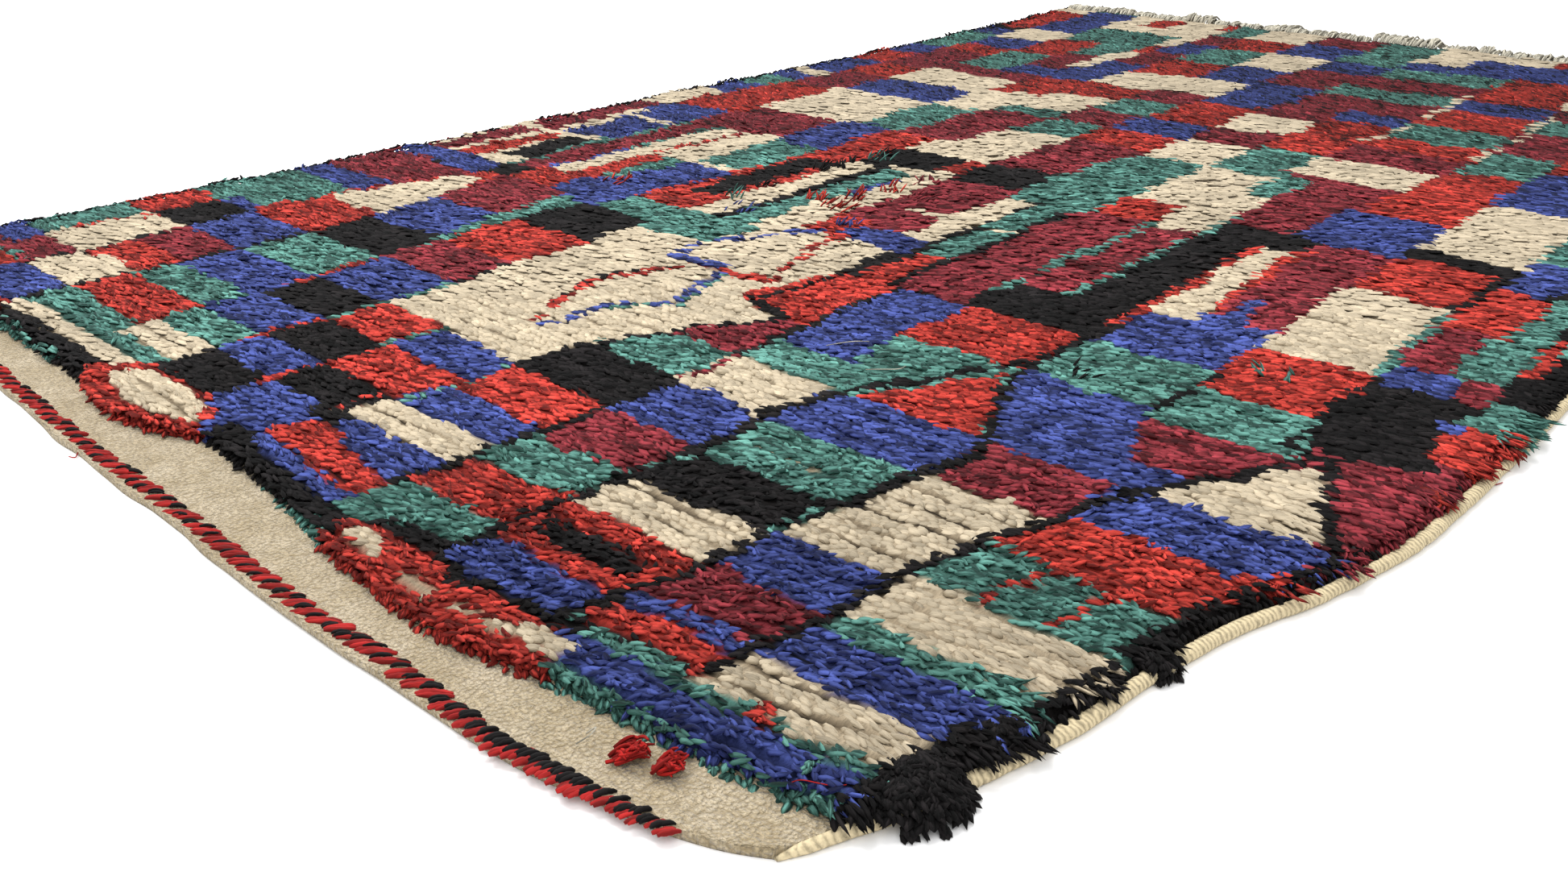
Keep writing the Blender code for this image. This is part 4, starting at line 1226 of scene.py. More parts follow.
# The points of a tuft that is closed all round, the last value again how light it is painted
CLOSED_TUFT = (
    (0.00, 0.00, 0.30, 0.5, 0.10),
    (0.28, 0.00, 1.00, 0.0, 0.90),
    (0.28, -0.90, 1.00, 0.7, 0.30),
    (0.28, 0.00, 1.00, 1.5, 0.10),
    (0.28, 0.90, 1.00, 0.7, 0.30),
    (0.68, 0.00, 1.00, 0.0, 1.20),
    (0.68, -0.85, 1.00, 0.6, 0.40),
    (0.68, 0.00, 1.00, 1.3, 0.15),
    (0.68, 0.85, 1.00, 0.6, 0.40),
    (1.06, 0.00, 0.60, 0.5, 0.60),
)
TUFT_KINDS = (
    (ROUND_TUFT, petal_faces(3)),
    (POINTED_TUFT, petal_faces(3)),
    (PLAIN_TUFT, petal_faces(2)),
    (CLOSED_TUFT, drop_faces(4, 2)),
)
ROUND, POINTED, PLAIN, CLOSED = range(4)


class Course(typing.NamedTuple):
    """How the field is knotted, from where the last such entry ends."""

    limit: float  # the distance from the near right corner up to which it holds
    number: int  # courses of tufts in a row of knots
    pitch: float  # distance between the tufts of a course
    half_width: float
    length: float
    bulge: float
    upright: float  # how far the tufts stand up, in radians
    disorder: float  # how much their headings differ, in radians
    # outline: the lowest painted light, so how light the painted shade at the tufts' edges stays
    outline: float  # how light their edges are
    kind: int


DYED_COURSES = (
    Course(0.48, 5, 0.0070, 0.0017, 0.0118, 0.0021, 0.15, 0.38, 0.00, POINTED),
    Course(0.95, 5, 0.0086, 0.0021, 0.0150, 0.0024, 0.05, 0.20, 0.00, PLAIN),
    Course(1.60, 4, 0.0105, 0.0028, 0.0210, 0.0030, 0.03, 0.19, 0.04, PLAIN),
    Course(9.99, 4, 0.0135, 0.0031, 0.0250, 0.0038, 0.07, 0.24, 0.04, PLAIN),
)
CREAM_COURSES = (
    Course(0.42, 4, 0.0078, 0.0030, 0.0110, 0.0034, 0.02, 0.18, 0.04, ROUND),
    Course(0.95, 4, 0.0086, 0.0030, 0.0130, 0.0030, 0.02, 0.13, 0.16, ROUND),
    Course(1.60, 3, 0.0112, 0.0039, 0.0185, 0.0026, 0.00, 0.10, 0.45, PLAIN),
    Course(9.99, 2, 0.0135, 0.0058, 0.0230, 0.0019, 0.00, 0.10, 0.80, PLAIN),
)


class Wool(typing.NamedTuple):
    """What differs in the field between cream and dyed wool."""

    courses: tuple
    spread: float  # the share of a row of knots that has tufts
    swirl: float  # how much the lie of its tufts swirls
    # near_shade, far_shade and crease_shade are painted shade: near the near right corner, far from it, and
    # in the creases
    near_shade: float  # how much deeper its tone is near the near right corner
    far_shade: float  # and far away
    crease_shade: float  # how much darker the tufts at the back of a row are


CREAM_WOOL = Wool(CREAM_COURSES, 0.77, 0.60, 0.65, 0.60, 0.15)
DYED_WOOL = Wool(DYED_COURSES, 0.84, 0.85, 0.35, 0.70, 0.30)


class Lock(typing.NamedTuple):
    """A sort of lock that hangs loose."""

    half_width: float
    narrowest: float  # the widths differ, from this share of it
    widest: float  # to this
    thick: float
    bulge: float
    sway: float  # how far it bends sideways
    dark: float  # its tones differ, from this one
    light: float  # to this


RIM_LOCK = Lock(0.0018, 0.75, 1.30, 0.0020, 0.0016, 0.18, 0.1, 0.9)
WALL_LOCK = Lock(0.0021, 0.75, 1.30, 0.0020, 0.0020, 0.18, 0.1, 0.8)
BRISTLE = Lock(0.0024, 0.75, 1.30, 0.0024, 0.0020, 0.15, 0.0, 1.0)
LIP_LOCK = Lock(0.0027, 0.75, 1.35, 0.0022, 0.0016, 0.20, 0.0, 1.0)
HEAP_LOCK = Lock(0.0024, 0.70, 1.30, 0.0024, 0.0022, 0.20, 0.0, 1.0)
SPRAY_LOCK = Lock(0.0017, 0.70, 1.40, 0.0016, 0.0014, 0.13, 0.0, 0.8)

# The lie of the tufts: along the rows with their tips to the right, but turned towards the bare end both
# beside the right cord and far away
NAP = math.radians(8)
CORD_TURN = 0.36
FAR_TURN = 0.80
HEAP_LEAN = -0.7
# How near the right cord the tufts feel it, and from what distance the pile counts as far away
CORD_REACH = 0.13
FAR_START = 1.25
FAR_REACH = 0.8

# A row of knots: the height of the step at its back, and the phase where its roll is highest
ROW_STEP = 0.0042
ROW_FRONT = 0.30
# The pile ends this far short of the woven end, and no tuft stands taller than this
PILE_STOP = 0.026
TALLEST = 0.0335
LOWEST = 0.0003
# How far the first row's tips hang down over the bare band
LIP_REACH = 0.014
LIP_DROP = 0.0025

# Between where the locks along the right and the left side lie, and the step between them with its unevenness
RIGHT_ENDS = (0.030, RUG_LENGTH - 0.004)
LEFT_ENDS = (0.034, RUG_LENGTH - PILE_STOP)
RIM_STEP = (0.0036, 0.0020)
WALL_STEP = (0.0040, 0.0020)
BRISTLE_STEP = (0.0042, 0.0024)
# The right side's tiers, how unsteady their edge is, and how far its steep locks start below the pile's top
RIM_TIERS = 4
RIM_DRIFT = ((0.0060, 0.019, 47),)
WALL_DROPS = (0.0055, 0.0095)
# The left side's rows of bristles: how far inwards, how far below the pile's top, and the share that is black
BRISTLE_ROWS = ((0.0080, 0.0042, 0.20), (0.0030, 0.0024, 0.85), (-0.0010, 0.0060, 1.0))
# The first row of the pile: its tiers, and between where its locks lie and their step
LIP_TIERS = 3
LIP_PLACES = (-0.745, 0.642, 0.0029)

# The mat has this many lines in a row of knots, the first at this phase, and this many columns
MAT_LINES = 3
MAT_PHASE = 0.12
MAT_COLUMNS = 170
MAT_FIRST_LINE = 5
MAT_DEPTH = 0.0023


class Tufts:
    """Collects tufts, each with its place, direction, size, shape and colour."""

    KEYS = (
        # dim is painted shade in the creases, and outline the lowest painted light at a tuft's edges
        *("x", "y", "z", "heading", "tilt", "length", "width", "thick"),
        *("bulge", "lift", "bend", "kind", "colour", "tone", "dim", "outline"),
    )

    def __init__(self):
        self.parts = {key: [] for key in self.KEYS}

    def add(self, **values):
        count = len(values["x"])
        for key in self.KEYS:
            self.parts[key].append(np.broadcast_to(values.get(key, 0.0), (count,)).astype(float))

    def add_locks(self, lock, rng, **values):
        """Loose locks of one sort, from their places, headings, tilts, lengths and colours."""
        count = len(values["x"])
        self.add(
            **values,
            width=lock.half_width * rng.uniform(lock.narrowest, lock.widest, count),
            thick=lock.thick,
            bulge=lock.bulge,
            bend=rng.normal(0.0, lock.sway, count),
            kind=CLOSED,
            tone=rng.uniform(lock.dark, lock.light, count),
        )

    def build(self, colour, name, material):
        data = {key: np.concatenate(parts) for key, parts in self.parts.items()}
        points, shades, lays, tones = [], [], [], []
        faces = ([], [])
        total = 0
        for kind, (shape, (triangles, quads)) in enumerate(TUFT_KINDS):
            mine = np.flatnonzero((data["colour"] == colour) & (data["kind"] == kind))
            if not len(mine):
                continue
            t = {key: column[mine][:, None] for key, column in data.items()}
            along, side, high, below, shade = np.array(shape).T[:, None, :]
            ahead = t["length"] * along
            out = t["width"] * side + t["bend"] * t["length"] * along**2
            up = t["bulge"] * high - t["thick"] * below
            level = ahead * np.cos(t["tilt"]) + up * np.sin(t["tilt"])
            x = t["x"] + level * np.cos(t["heading"]) - out * np.sin(t["heading"])
            y = t["y"] + level * np.sin(t["heading"]) + out * np.cos(t["heading"])
            z = t["z"] + t["lift"] * along**2 + up * np.cos(t["tilt"]) - ahead * np.sin(t["tilt"])
            z = np.clip(z, LOWEST, TALLEST)
            each = len(shape)
            starts = total + np.arange(len(mine)) * each
            for bag, corners in zip(faces, (triangles, quads)):
                bag.append((starts[:, None, None] + corners[None]).reshape(-1, corners.shape[1]))
            points.append(np.stack([x, y, z], axis=2).reshape(-1, 3))
            # Painted light for each point: painted shade at roots and edges, more of it in the creases, never
            # below the outline
            shades.append(np.maximum(shade * (1 - t["dim"]), t["outline"]).ravel())
            lay = np.stack([ahead + 0 * x, t["width"] * side + 0 * x, 0.37 * mine[:, None] + up], axis=2)
            lays.append(lay.reshape(-1, 3))
            tones.append(np.repeat(data["tone"][mine], each))
            total += len(mine) * each
        values = {
            "tone": np.concatenate(tones),
            "depth": np.concatenate(shades),
            "lay": np.concatenate(lays),
        }
        faces = [np.concatenate(bag) for bag in faces]
        return add_mesh(name, np.concatenate(points) + cad_shift(), faces, [material], values=values)


def course_grid(course, nearest, spread, pile, cord_width, rng):
    """Places for the tufts of a course, nearest and its limit being distances from the near right corner.

    Each has its fraction of the width, its distance along the rug and its phase in the row of knots.
    """
    parts = []
    for row in range(int(min(RUG_LENGTH, course.limit) / pile.row_pitch) + 1):
        crease = row * pile.row_pitch
        width = float(ground_side(crease, 1, cord_width) - ground_side(crease, -1, cord_width))
        count = int(width / course.pitch)
        for number in range(course.number):
            staggered = 0.3 + 0.5 * (number % 2) + 0.23 * (row % 3)
            fraction = (np.arange(count) + staggered) / count
            fraction = (fraction + rng.uniform(-0.32, 0.32, count) / count) % 1.0
            phase = spread * number / course.number + rng.uniform(-0.5, 0.5, count) * 0.10
            parts.append(np.stack([fraction, crease + phase * pile.row_pitch, np.clip(phase, 0.0, 1.0)]))
    fraction, along, phase = np.concatenate(parts, axis=1)
    along = along + layered_noise(fraction * width, along, ROW_DRIFT)
    away = np.hypot((1 - fraction) * width, along)
    keep = (away >= nearest) & (away < course.limit) & (along < RUG_LENGTH - 0.002)
    return fraction[keep], along[keep], phase[keep]


def side_places(side, ends, steps, cord_width, rng):
    """Places along a side of the cloth, 0 the left and 1 the right, between two ends at uneven steps."""
    step, unevenness = steps
    alongs = np.arange(*ends, step)
    alongs = alongs + rng.uniform(-unevenness, unevenness, len(alongs))
    return cloth_point(np.full(len(alongs), float(side)), alongs, cord_width)


def far_painted_shade(away):
    """How much painted shade darkens the wool at a distance from the near right corner, from 0 near it to 1.
    """
    return np.clip(away / 0.9 - 1.3, 0.0, 1.0)


def crease_painted_shade(across, forward):
    """How dark the painted shade in the crease behind a row of knots is, from 0 to 1: here and there it fades
    out.
    """
    return np.clip(layered_noise(across * 0.4, forward, CREASE_PATCHES, 0.55), 0.0, 1.0)


class RUG_OT_knot_pile(bpy.types.Operator):
    """Knot the pile: tufts in rows, one piece for each colour of wool, on a mat of roots"""

    bl_idname = "rug.knot_pile"
    bl_label = "Knot pile"

    def execute(self, context):
        scene = context.scene
        tufts = Tufts()
        rng = np.random.default_rng(7)
        for wool in (CREAM_WOOL, DYED_WOOL):
            nearest = 0.0
            for course in wool.courses:
                self.knot_field(tufts, scene, wool, course, nearest, rng)
                nearest = course.limit
        self.hang_right_rim(tufts, scene, rng)
        self.hang_right_wall(tufts, scene, rng)
        self.hang_left_rim(tufts, scene, rng)
        self.hang_lip(tufts, scene, rng)
        self.heap_corners(tufts, rng)
        self.scatter_sprays(tufts, scene, rng)
        for number, name in enumerate(COLOUR_NAMES):
            colour = tuple(getattr(scene.rug_colours, name))
            variety, streaks = WOOL_VARIETY.get(number, DYED_VARIETY)
            material = wool_material("wool_" + name, colour, variety=variety, sheen=0.08, streaks=streaks)
            settle(tufts.build(number, "pile_" + name, material), "pile_wool", "rug")
        self.lay_mat(scene)
        return {"FINISHED"}

    def knot_field(self, tufts, scene, wool, course, nearest, rng):
        """The tufts of the field that one entry of the courses gives."""
        pile, trim = scene.rug_pile, scene.rug_trim
        undyed = wool is CREAM_WOOL
        fraction, along, phase = course_grid(course, nearest, wool.spread, pile, trim.cord_width, rng)
        width = ground_side(along, 1, trim.cord_width) - ground_side(along, -1, trim.cord_width)
        tip_x, tip_y = cloth_point(fraction, along, trim.cord_width)
        count = len(tip_x)
        shaggy = shagginess(tip_x, tip_y)
        from_right = (1 - fraction) * width
        away = np.hypot(from_right, tip_y)
        cornered = np.clip(1 - from_right / CORD_REACH, 0.0, 1.0)
        squeezed = cornered * undyed
        far = rising(away, FAR_START, FAR_REACH) * (not undyed)

        heading = NAP - CORD_TURN * cornered - FAR_TURN * far
        heading += layered_noise(tip_x, tip_y, LIE_SWIRLS) * wool.swirl
        heading += (course.disorder * (1 - 0.6 * squeezed) + 0.12 * shaggy) * rng.normal(0.0, 1.0, count)
        length = course.length * (1 + rng.uniform(-0.16, 0.20, count)) * (1 + 0.12 * shaggy)
        middle_x = tip_x - 0.4 * length * np.cos(heading)
        middle_y = tip_y - 0.4 * length * np.sin(heading)

        stray = (0.0006 + 0.0040 * far) * rng.normal(0.0, 1.0, count)
        colour = colour_at(middle_x + stray, middle_y - 0.5 * (phase - 0.4) * pile.row_pitch - stray)
        begins = read_curve(PILE_START, middle_x)
        keep = (middle_y > begins) & ((colour == CREAM) == undyed)
        pile_end = RUG_LENGTH - PILE_STOP + 0.008 * soft_noise(middle_x, middle_x * 0, 0.04, 54)
        keep &= (middle_y < pile_end) & ((width - from_right) > 0.4 * length)
        keep &= from_right > -read_curve(RIM_REACH, tip_y)

        crest = pile_surface(middle_x, middle_y, phase, pile)
        rough = 0.0004 + 0.0006 * shaggy + 0.002 * course.upright
        crest += np.clip(rough * rng.normal(0.0, 1.0, count), -0.003, 0.004)
        crest -= np.clip(1 - (middle_y - begins) / LIP_REACH, 0.0, 1.0) * LIP_DROP

        tone = layered_noise(tip_x, tip_y, TONE_PATCHES, 0.5)
        # Random tone, and painted shade that darkens the wool near the near right corner and far from it
        tone += rng.uniform(-0.30, 0.30, count) * (1 + far) - 0.15 * far
        tone -= wool.near_shade * np.clip(1.4 - away / 0.40, 0.0, 1.0)
        tone -= wool.far_shade * far_painted_shade(away)
        at_back = phase > wool.spread * (course.number - 1) / course.number - 0.06
        values = {
            "x": tip_x - length * np.cos(heading),
            "y": tip_y - length * np.sin(heading),
            "z": crest - course.bulge,
            "heading": heading,
            "tilt": 0.16 * far - course.upright * rng.uniform(0.2, 1.8, count),
            "length": length * (1 + 0.30 * squeezed),
            "width": course.half_width * (1 + rng.uniform(-0.18, 0.22, count)) * (1 - 0.28 * squeezed),
            "thick": np.full(count, 0.0025 if course.limit < 1 else 0.0017),
            "bulge": np.full(count, course.bulge),
            "lift": rng.uniform(0.0, 1.0, count) ** 3 * (0.0008 + 0.0030 * shaggy),
            "bend": rng.normal(0.0, 0.10, count),
            "kind": np.where(squeezed > 0.5, POINTED, course.kind),
            "colour": colour,
            "tone": tone,
            "outline": np.full(count, course.outline),
            # Painted shade in the crease at the back of a row, stronger in some places than in others
            "dim": wool.crease_shade * crease_painted_shade(tip_x, tip_y) * at_back,
        }
        tufts.add(**{key: column[keep] for key, column in values.items()})

    def hang_right_rim(self, tufts, scene, rng):
        """Locks that lie over the right side cord, in tiers like thatch."""
        pile, trim = scene.rug_pile, scene.rug_trim
        for tier in range(RIM_TIERS):
            across, forward = side_places(1, RIGHT_ENDS, RIM_STEP, trim.cord_width, rng)
            reach = layered_noise(forward, forward * 0, RIM_DRIFT, read_curve(RIM_REACH, forward))
            out = -0.013 + tier * rng.uniform(0.0055, 0.0085, len(across))
            keep = out < reach - 0.006
            across, forward, reach, out = across[keep], forward[keep], reach[keep], out[keep]
            count = len(across)
            length = np.clip(reach - out, 0.008, 0.017) * rng.uniform(0.85, 1.25, count)
            part = np.clip((out + 0.010) / 0.036, 0, 1)
            top = pile_top(across, forward, pile) - 0.0015 + rng.normal(0.0, 0.0008, count)
            tufts.add_locks(
                RIM_LOCK,
                rng,
                x=across + out,
                y=forward,
                z=top - 0.0070 * part**1.3 - 0.0020,
                heading=rng.normal(-0.35, 0.30, count) - 0.8 * soft_noise(forward, forward * 0, 0.024, 50),
                tilt=0.05 + 0.28 * part + rng.normal(0.0, 0.15, count),
                length=length,
                colour=colour_at(across + np.minimum(out, -0.002), forward),
            )

    def hang_right_wall(self, tufts, scene, rng):
        """Steep locks that close the pile's right side above the cord."""
        pile, trim = scene.rug_pile, scene.rug_trim
        for drop in WALL_DROPS:
            across, forward = side_places(1, RIGHT_ENDS, WALL_STEP, trim.cord_width, rng)
            across = across + np.minimum(read_curve(RIM_REACH, forward), 0.0) - 0.0025
            count = len(across)
            tufts.add_locks(
                WALL_LOCK,
                rng,
                x=across,
                y=forward,
                z=pile_top(across, forward, pile) - drop,
                heading=rng.normal(-0.45, 0.50, count),
                tilt=0.85 + rng.normal(0.0, 0.25, count),
                length=rng.uniform(0.007, 0.011, count),
                colour=colour_at(across - 0.003, forward),
            )

    def hang_left_rim(self, tufts, scene, rng):
        """Short tufts, the outer ones black, that bristle along the left side cord."""
        pile, trim = scene.rug_pile, scene.rug_trim
        for inset, drop, blacks in BRISTLE_ROWS:
            across, forward = side_places(0, LEFT_ENDS, BRISTLE_STEP, trim.cord_width, rng)
            keep = forward > read_curve(PILE_START, across)
            across, forward = across[keep], forward[keep]
            count = len(across)
            bristle = np.maximum(0.0, soft_noise(forward, forward * 0, 0.030, 51))
            black = rng.uniform(0.0, 1.0, count) < blacks
            tufts.add_locks(
                BRISTLE,
                rng,
                x=across + inset,
                y=forward - 0.004,
                z=pile_top(across, forward, pile) - drop + 0.0018 * bristle,
                heading=1.75 + rng.normal(0.0, 0.5, count),
                tilt=rng.uniform(-0.22, 0.15, count) - 0.15 * bristle,
                length=rng.uniform(0.008, 0.013, count),
                colour=np.where(black, BLACK, colour_at(across + 0.012, forward)),
            )

    def hang_lip(self, tufts, scene, rng):
        """The first row, whose tips hang over the bare band."""
        pile = scene.rug_pile
        step = 0.004
        for tier in range(LIP_TIERS):
            across = np.arange(*LIP_PLACES)
            across = across + rng.uniform(-0.002, 0.002, len(across))
            forward = read_curve(PILE_START, across)
            slope = (read_curve(PILE_START, across + step) - forward) / step
            count = len(across)
            tufts.add_locks(
                LIP_LOCK,
                rng,
                x=across,
                y=forward + 0.004 + 0.0025 * tier + rng.uniform(-0.0035, 0.0025, count),
                z=pile_top(across, forward, pile) - 0.0118 + 0.0030 * tier,
                heading=np.arctan(slope) - 0.40 + rng.normal(0.0, 0.60, count),
                tilt=rng.uniform(0.00, 0.50, count),
                length=rng.uniform(0.0068, 0.0105, count),
                colour=colour_at(across, forward + 0.002 + 0.002 * tier),
            )

    def heap_corners(self, tufts, rng):
        """The bushy black masses that hang over the cord near the corner, down to the floor."""
        for middle_x, middle_y, wide, deep, high, count in CORNER_HEAPS:
            turn = rng.uniform(0.0, 2 * np.pi, count)
            out = rng.uniform(0.0, 1.0, count) ** 0.55
            x = middle_x + wide * out * np.cos(turn)
            y = middle_y + deep * out * np.sin(turn)
            dome = np.sqrt(np.maximum(0.0, 1 - (out * 0.98) ** 2.6))
            low = np.where(x > middle_x + 0.3 * wide, 0.0020, 0.0120)
            top = low + (high - low) * dome + 0.0020 * soft_noise(x, y, 0.012, 49)
            ahead = (1 - 0.5 * out) * np.cos(HEAP_LEAN) + 0.5 * out * np.cos(turn)
            aside = (1 - 0.5 * out) * np.sin(HEAP_LEAN) + 0.5 * out * np.sin(turn)
            tufts.add_locks(
                HEAP_LOCK,
                rng,
                x=x,
                y=y,
                z=top - 0.0030,
                heading=np.arctan2(aside, ahead) + rng.normal(0.0, 0.45, count),
                tilt=0.05 + 0.65 * out**2 + rng.normal(0.0, 0.22, count),
                length=rng.uniform(0.0065, 0.0095, count),
                colour=BLACK,
            )

    def scatter_sprays(self, tufts, scene, rng):
        """Bunches of longer yarns that stand up out of the pile or lie loose over it."""
        for letter, across, forward, reach, count, length, heading, upward in SPRAYS:
            x = across + reach * rng.uniform(-1.0, 1.0, count)
            y = forward + reach * rng.uniform(-1.0, 1.0, count)
            tufts.add_locks(
                SPRAY_LOCK,
                rng,
                x=x,
                y=y,
                z=pile_top(x, y, scene.rug_pile) - 0.0025,
                heading=math.radians(heading) + rng.normal(0.0, 0.20 + 0.45 * upward, count),
                tilt=-upward * rng.uniform(0.5, 1.3, count),
                length=length * rng.uniform(0.55, 1.15, count),
                colour=COLOUR_LETTERS.index(letter),
            )

    def lay_mat(self, scene):
        """The matted wool between the tufts, a lumpy sheet that is pressed down at its rim."""
        pile, trim = scene.rug_pile, scene.rug_trim
        lines = np.arange(MAT_FIRST_LINE, int(RUG_LENGTH / pile.row_pitch * MAT_LINES))
        alongs = (lines / MAT_LINES + MAT_PHASE) * pile.row_pitch
        fraction, along = np.meshgrid(np.linspace(0.0, 1.0, MAT_COLUMNS), alongs)
        phase = np.broadcast_to(((lines % MAT_LINES) / MAT_LINES + MAT_PHASE)[:, None], along.shape)
        width = ground_side(along, 1, trim.cord_width) - ground_side(along, -1, trim.cord_width)
        along = along + layered_noise(fraction * width, along, ROW_DRIFT)
        across, forward = cloth_point(fraction, along, trim.cord_width)
        across = np.minimum(across, across[:, -1:] + np.minimum(read_curve(RIM_REACH, forward), 0.0))
        begins = read_curve(PILE_START, across) + 0.006
        hidden = (forward < begins) | (forward > RUG_LENGTH - PILE_STOP)
        forward = np.maximum(forward, begins)
        height = pile_surface(across, forward, phase, pile) - MAT_DEPTH
        edge = np.minimum(1.0, (forward - begins) / 0.016 + 0.35)
        edge *= np.minimum(1.0, np.minimum(fraction, 1 - fraction) * 60 + 0.55)
        base = scene.rug_cloth.thickness - 0.0008
        rim = np.zeros(along.shape, bool)
        rim[0, :] = rim[-1, :] = rim[:, 0] = rim[:, -1] = True
        top = np.where(hidden | rim, base, base + (height - base) * edge)
        points = np.stack([across, forward, top], axis=2).reshape(-1, 3)
        values = self.mat_colours(scene, across, forward, phase, fraction[:, ::-1] * width)
        rows, columns = across.shape
        faces = [grid_faces(columns, rows)]
        obj = add_mesh("pile_mat", points + cad_shift(), faces, [mat_material()], values=values)
        settle(obj, "pile_wool", "rug")

    def mat_colours(self, scene, across, forward, phase, from_right):
        """The mat's colour and painted shade: a brownish painted shade between cream knots, deeper in the
        creases, darker far away.
        """
        wools = np.array([tuple(getattr(scene.rug_colours, name)) for name in COLOUR_NAMES])
        own = wools[colour_at(across.ravel(), forward.ravel())]
        pale = own.min(axis=1) / own.max(axis=1)
        away = np.hypot(from_right, forward)
        # Painted shade: deep darkens the mat in the creases, most near the near right corner, and under the
        # near cream knots, with a brownish tint on cream; far away the whole mat is darker
        near = np.clip(2.3 - away, 0.35, 1.0)
        far_shaded = 1 - 0.35 * far_painted_shade(away).ravel()[:, None]
        deep = ((0.30 + 0.68 * crease_painted_shade(across, forward)) * near * (phase > 0.6)).ravel()
        deep *= 1 - np.minimum(1.1 * pale, 1.0) * rising(away.ravel(), 0.9, 0.5)
        deep = np.maximum(deep, 0.5 * pale * (away.ravel() < 0.6))
        painted_shade_tint = 1 - (deep * pale)[:, None] * np.array([0.0, 0.18, 0.38])
        own = own * (1 + 0.3 * pale)[:, None] * painted_shade_tint * far_shaded
        return {"root_colour": own, "root_shade": 1.0 - deep}


# A side cord: rings of this many points, at these places from the bare end, where it begins thinner
CORD_POINTS = 10
CORD_START = (0.0, 0.02, 6)
CORD_STEP = 0.0065
CORD_BEGINS = ((0.0, 0.012, 0.05), (0.30, 0.70, 1.0))
CORD_SWELLS = ((0.14, 0.010, 52), (0.12, 0.04, 53))
CORD_TINT = (1.06, 1.05, 0.95)
WRAP_LEAN = 0.45


class RUG_OT_bind_sides(bpy.types.Operator):
    """Bind the long sides with cords wrapped in cream wool"""

    bl_idname = "rug.bind_sides"
    bl_label = "Bind sides"

    def execute(self, context):
        scene = context.scene
        trim = scene.rug_trim
        half = trim.cord_width / 2
        wool = tuple(part * tint for part, tint in zip(scene.rug_colours.ground, CORD_TINT))
        material = cord_material("cord_wool", wool)
        alongs = np.concatenate([np.linspace(*CORD_START), np.arange(0.026, RUG_LENGTH, CORD_STEP)])
        angle = 2 * np.pi * np.arange(CORD_POINTS) / CORD_POINTS
        # The rings run the other way round than a yarn's, so the faces are turned over
        faces = [np.roll(part[:, ::-1], 1, axis=1) for part in tube_faces(CORD_POINTS, len(alongs))]
        for name, side in (("left", -1), ("right", 1)):
            fraction = np.full(alongs.shape, 0.0 if side < 0 else 1.0)
            across, forward = cloth_point(fraction, alongs, trim.cord_width)
            begun = np.interp(alongs, *CORD_BEGINS)
            across = across + side * (GAP + half * begun)
            swell = (begun * layered_noise(alongs, alongs * 0, CORD_SWELLS, 1.14))[:, None]
            begun = begun[:, None]
            x = across[:, None] + np.cos(angle)[None, :] * half * swell
            z = trim.cord_height / 2 * (begun + np.sin(angle)[None, :] * np.minimum(swell, begun))
            y = np.broadcast_to(forward[:, None], x.shape)
            points = np.stack([x, y, z], axis=2).reshape(-1, 3)
            leaning = np.cos(angle - 0.6)[None, :] * trim.wrap_pitch * WRAP_LEAN
            values = {"turns": ((alongs[:, None] + side * leaning) / trim.wrap_pitch).ravel()}
            obj = add_mesh("side_cord_" + name, points + cad_shift(), faces, [material], values=values)
            settle(obj, "ground_wool", "selvedge_" + name)
        return {"FINISHED"}


# The twined line runs between these places. Towards its right end its plies crowd together and get narrow
TWINING_ENDS = (-0.722, 0.588)
TWINING_CROWDS = (0.38, 0.46)
TWINING_NARROWS = (0.52, 0.60)
TWINING_DEPTH = 0.0085
# A ply's half run along the edge, half reach across it, half thickness and offset inwards, first in the long
# left part and then in the crowded right one
TWINED_RED = np.array([(0.0078, 0.0062, 0.0025, -0.0004), (0.0030, 0.0056, 0.0025, -0.0078)])
TWINED_BLACK = np.array([(0.0048, 0.0036, 0.0014, 0.0006), (0.0024, 0.0046, 0.0023, -0.0050)])


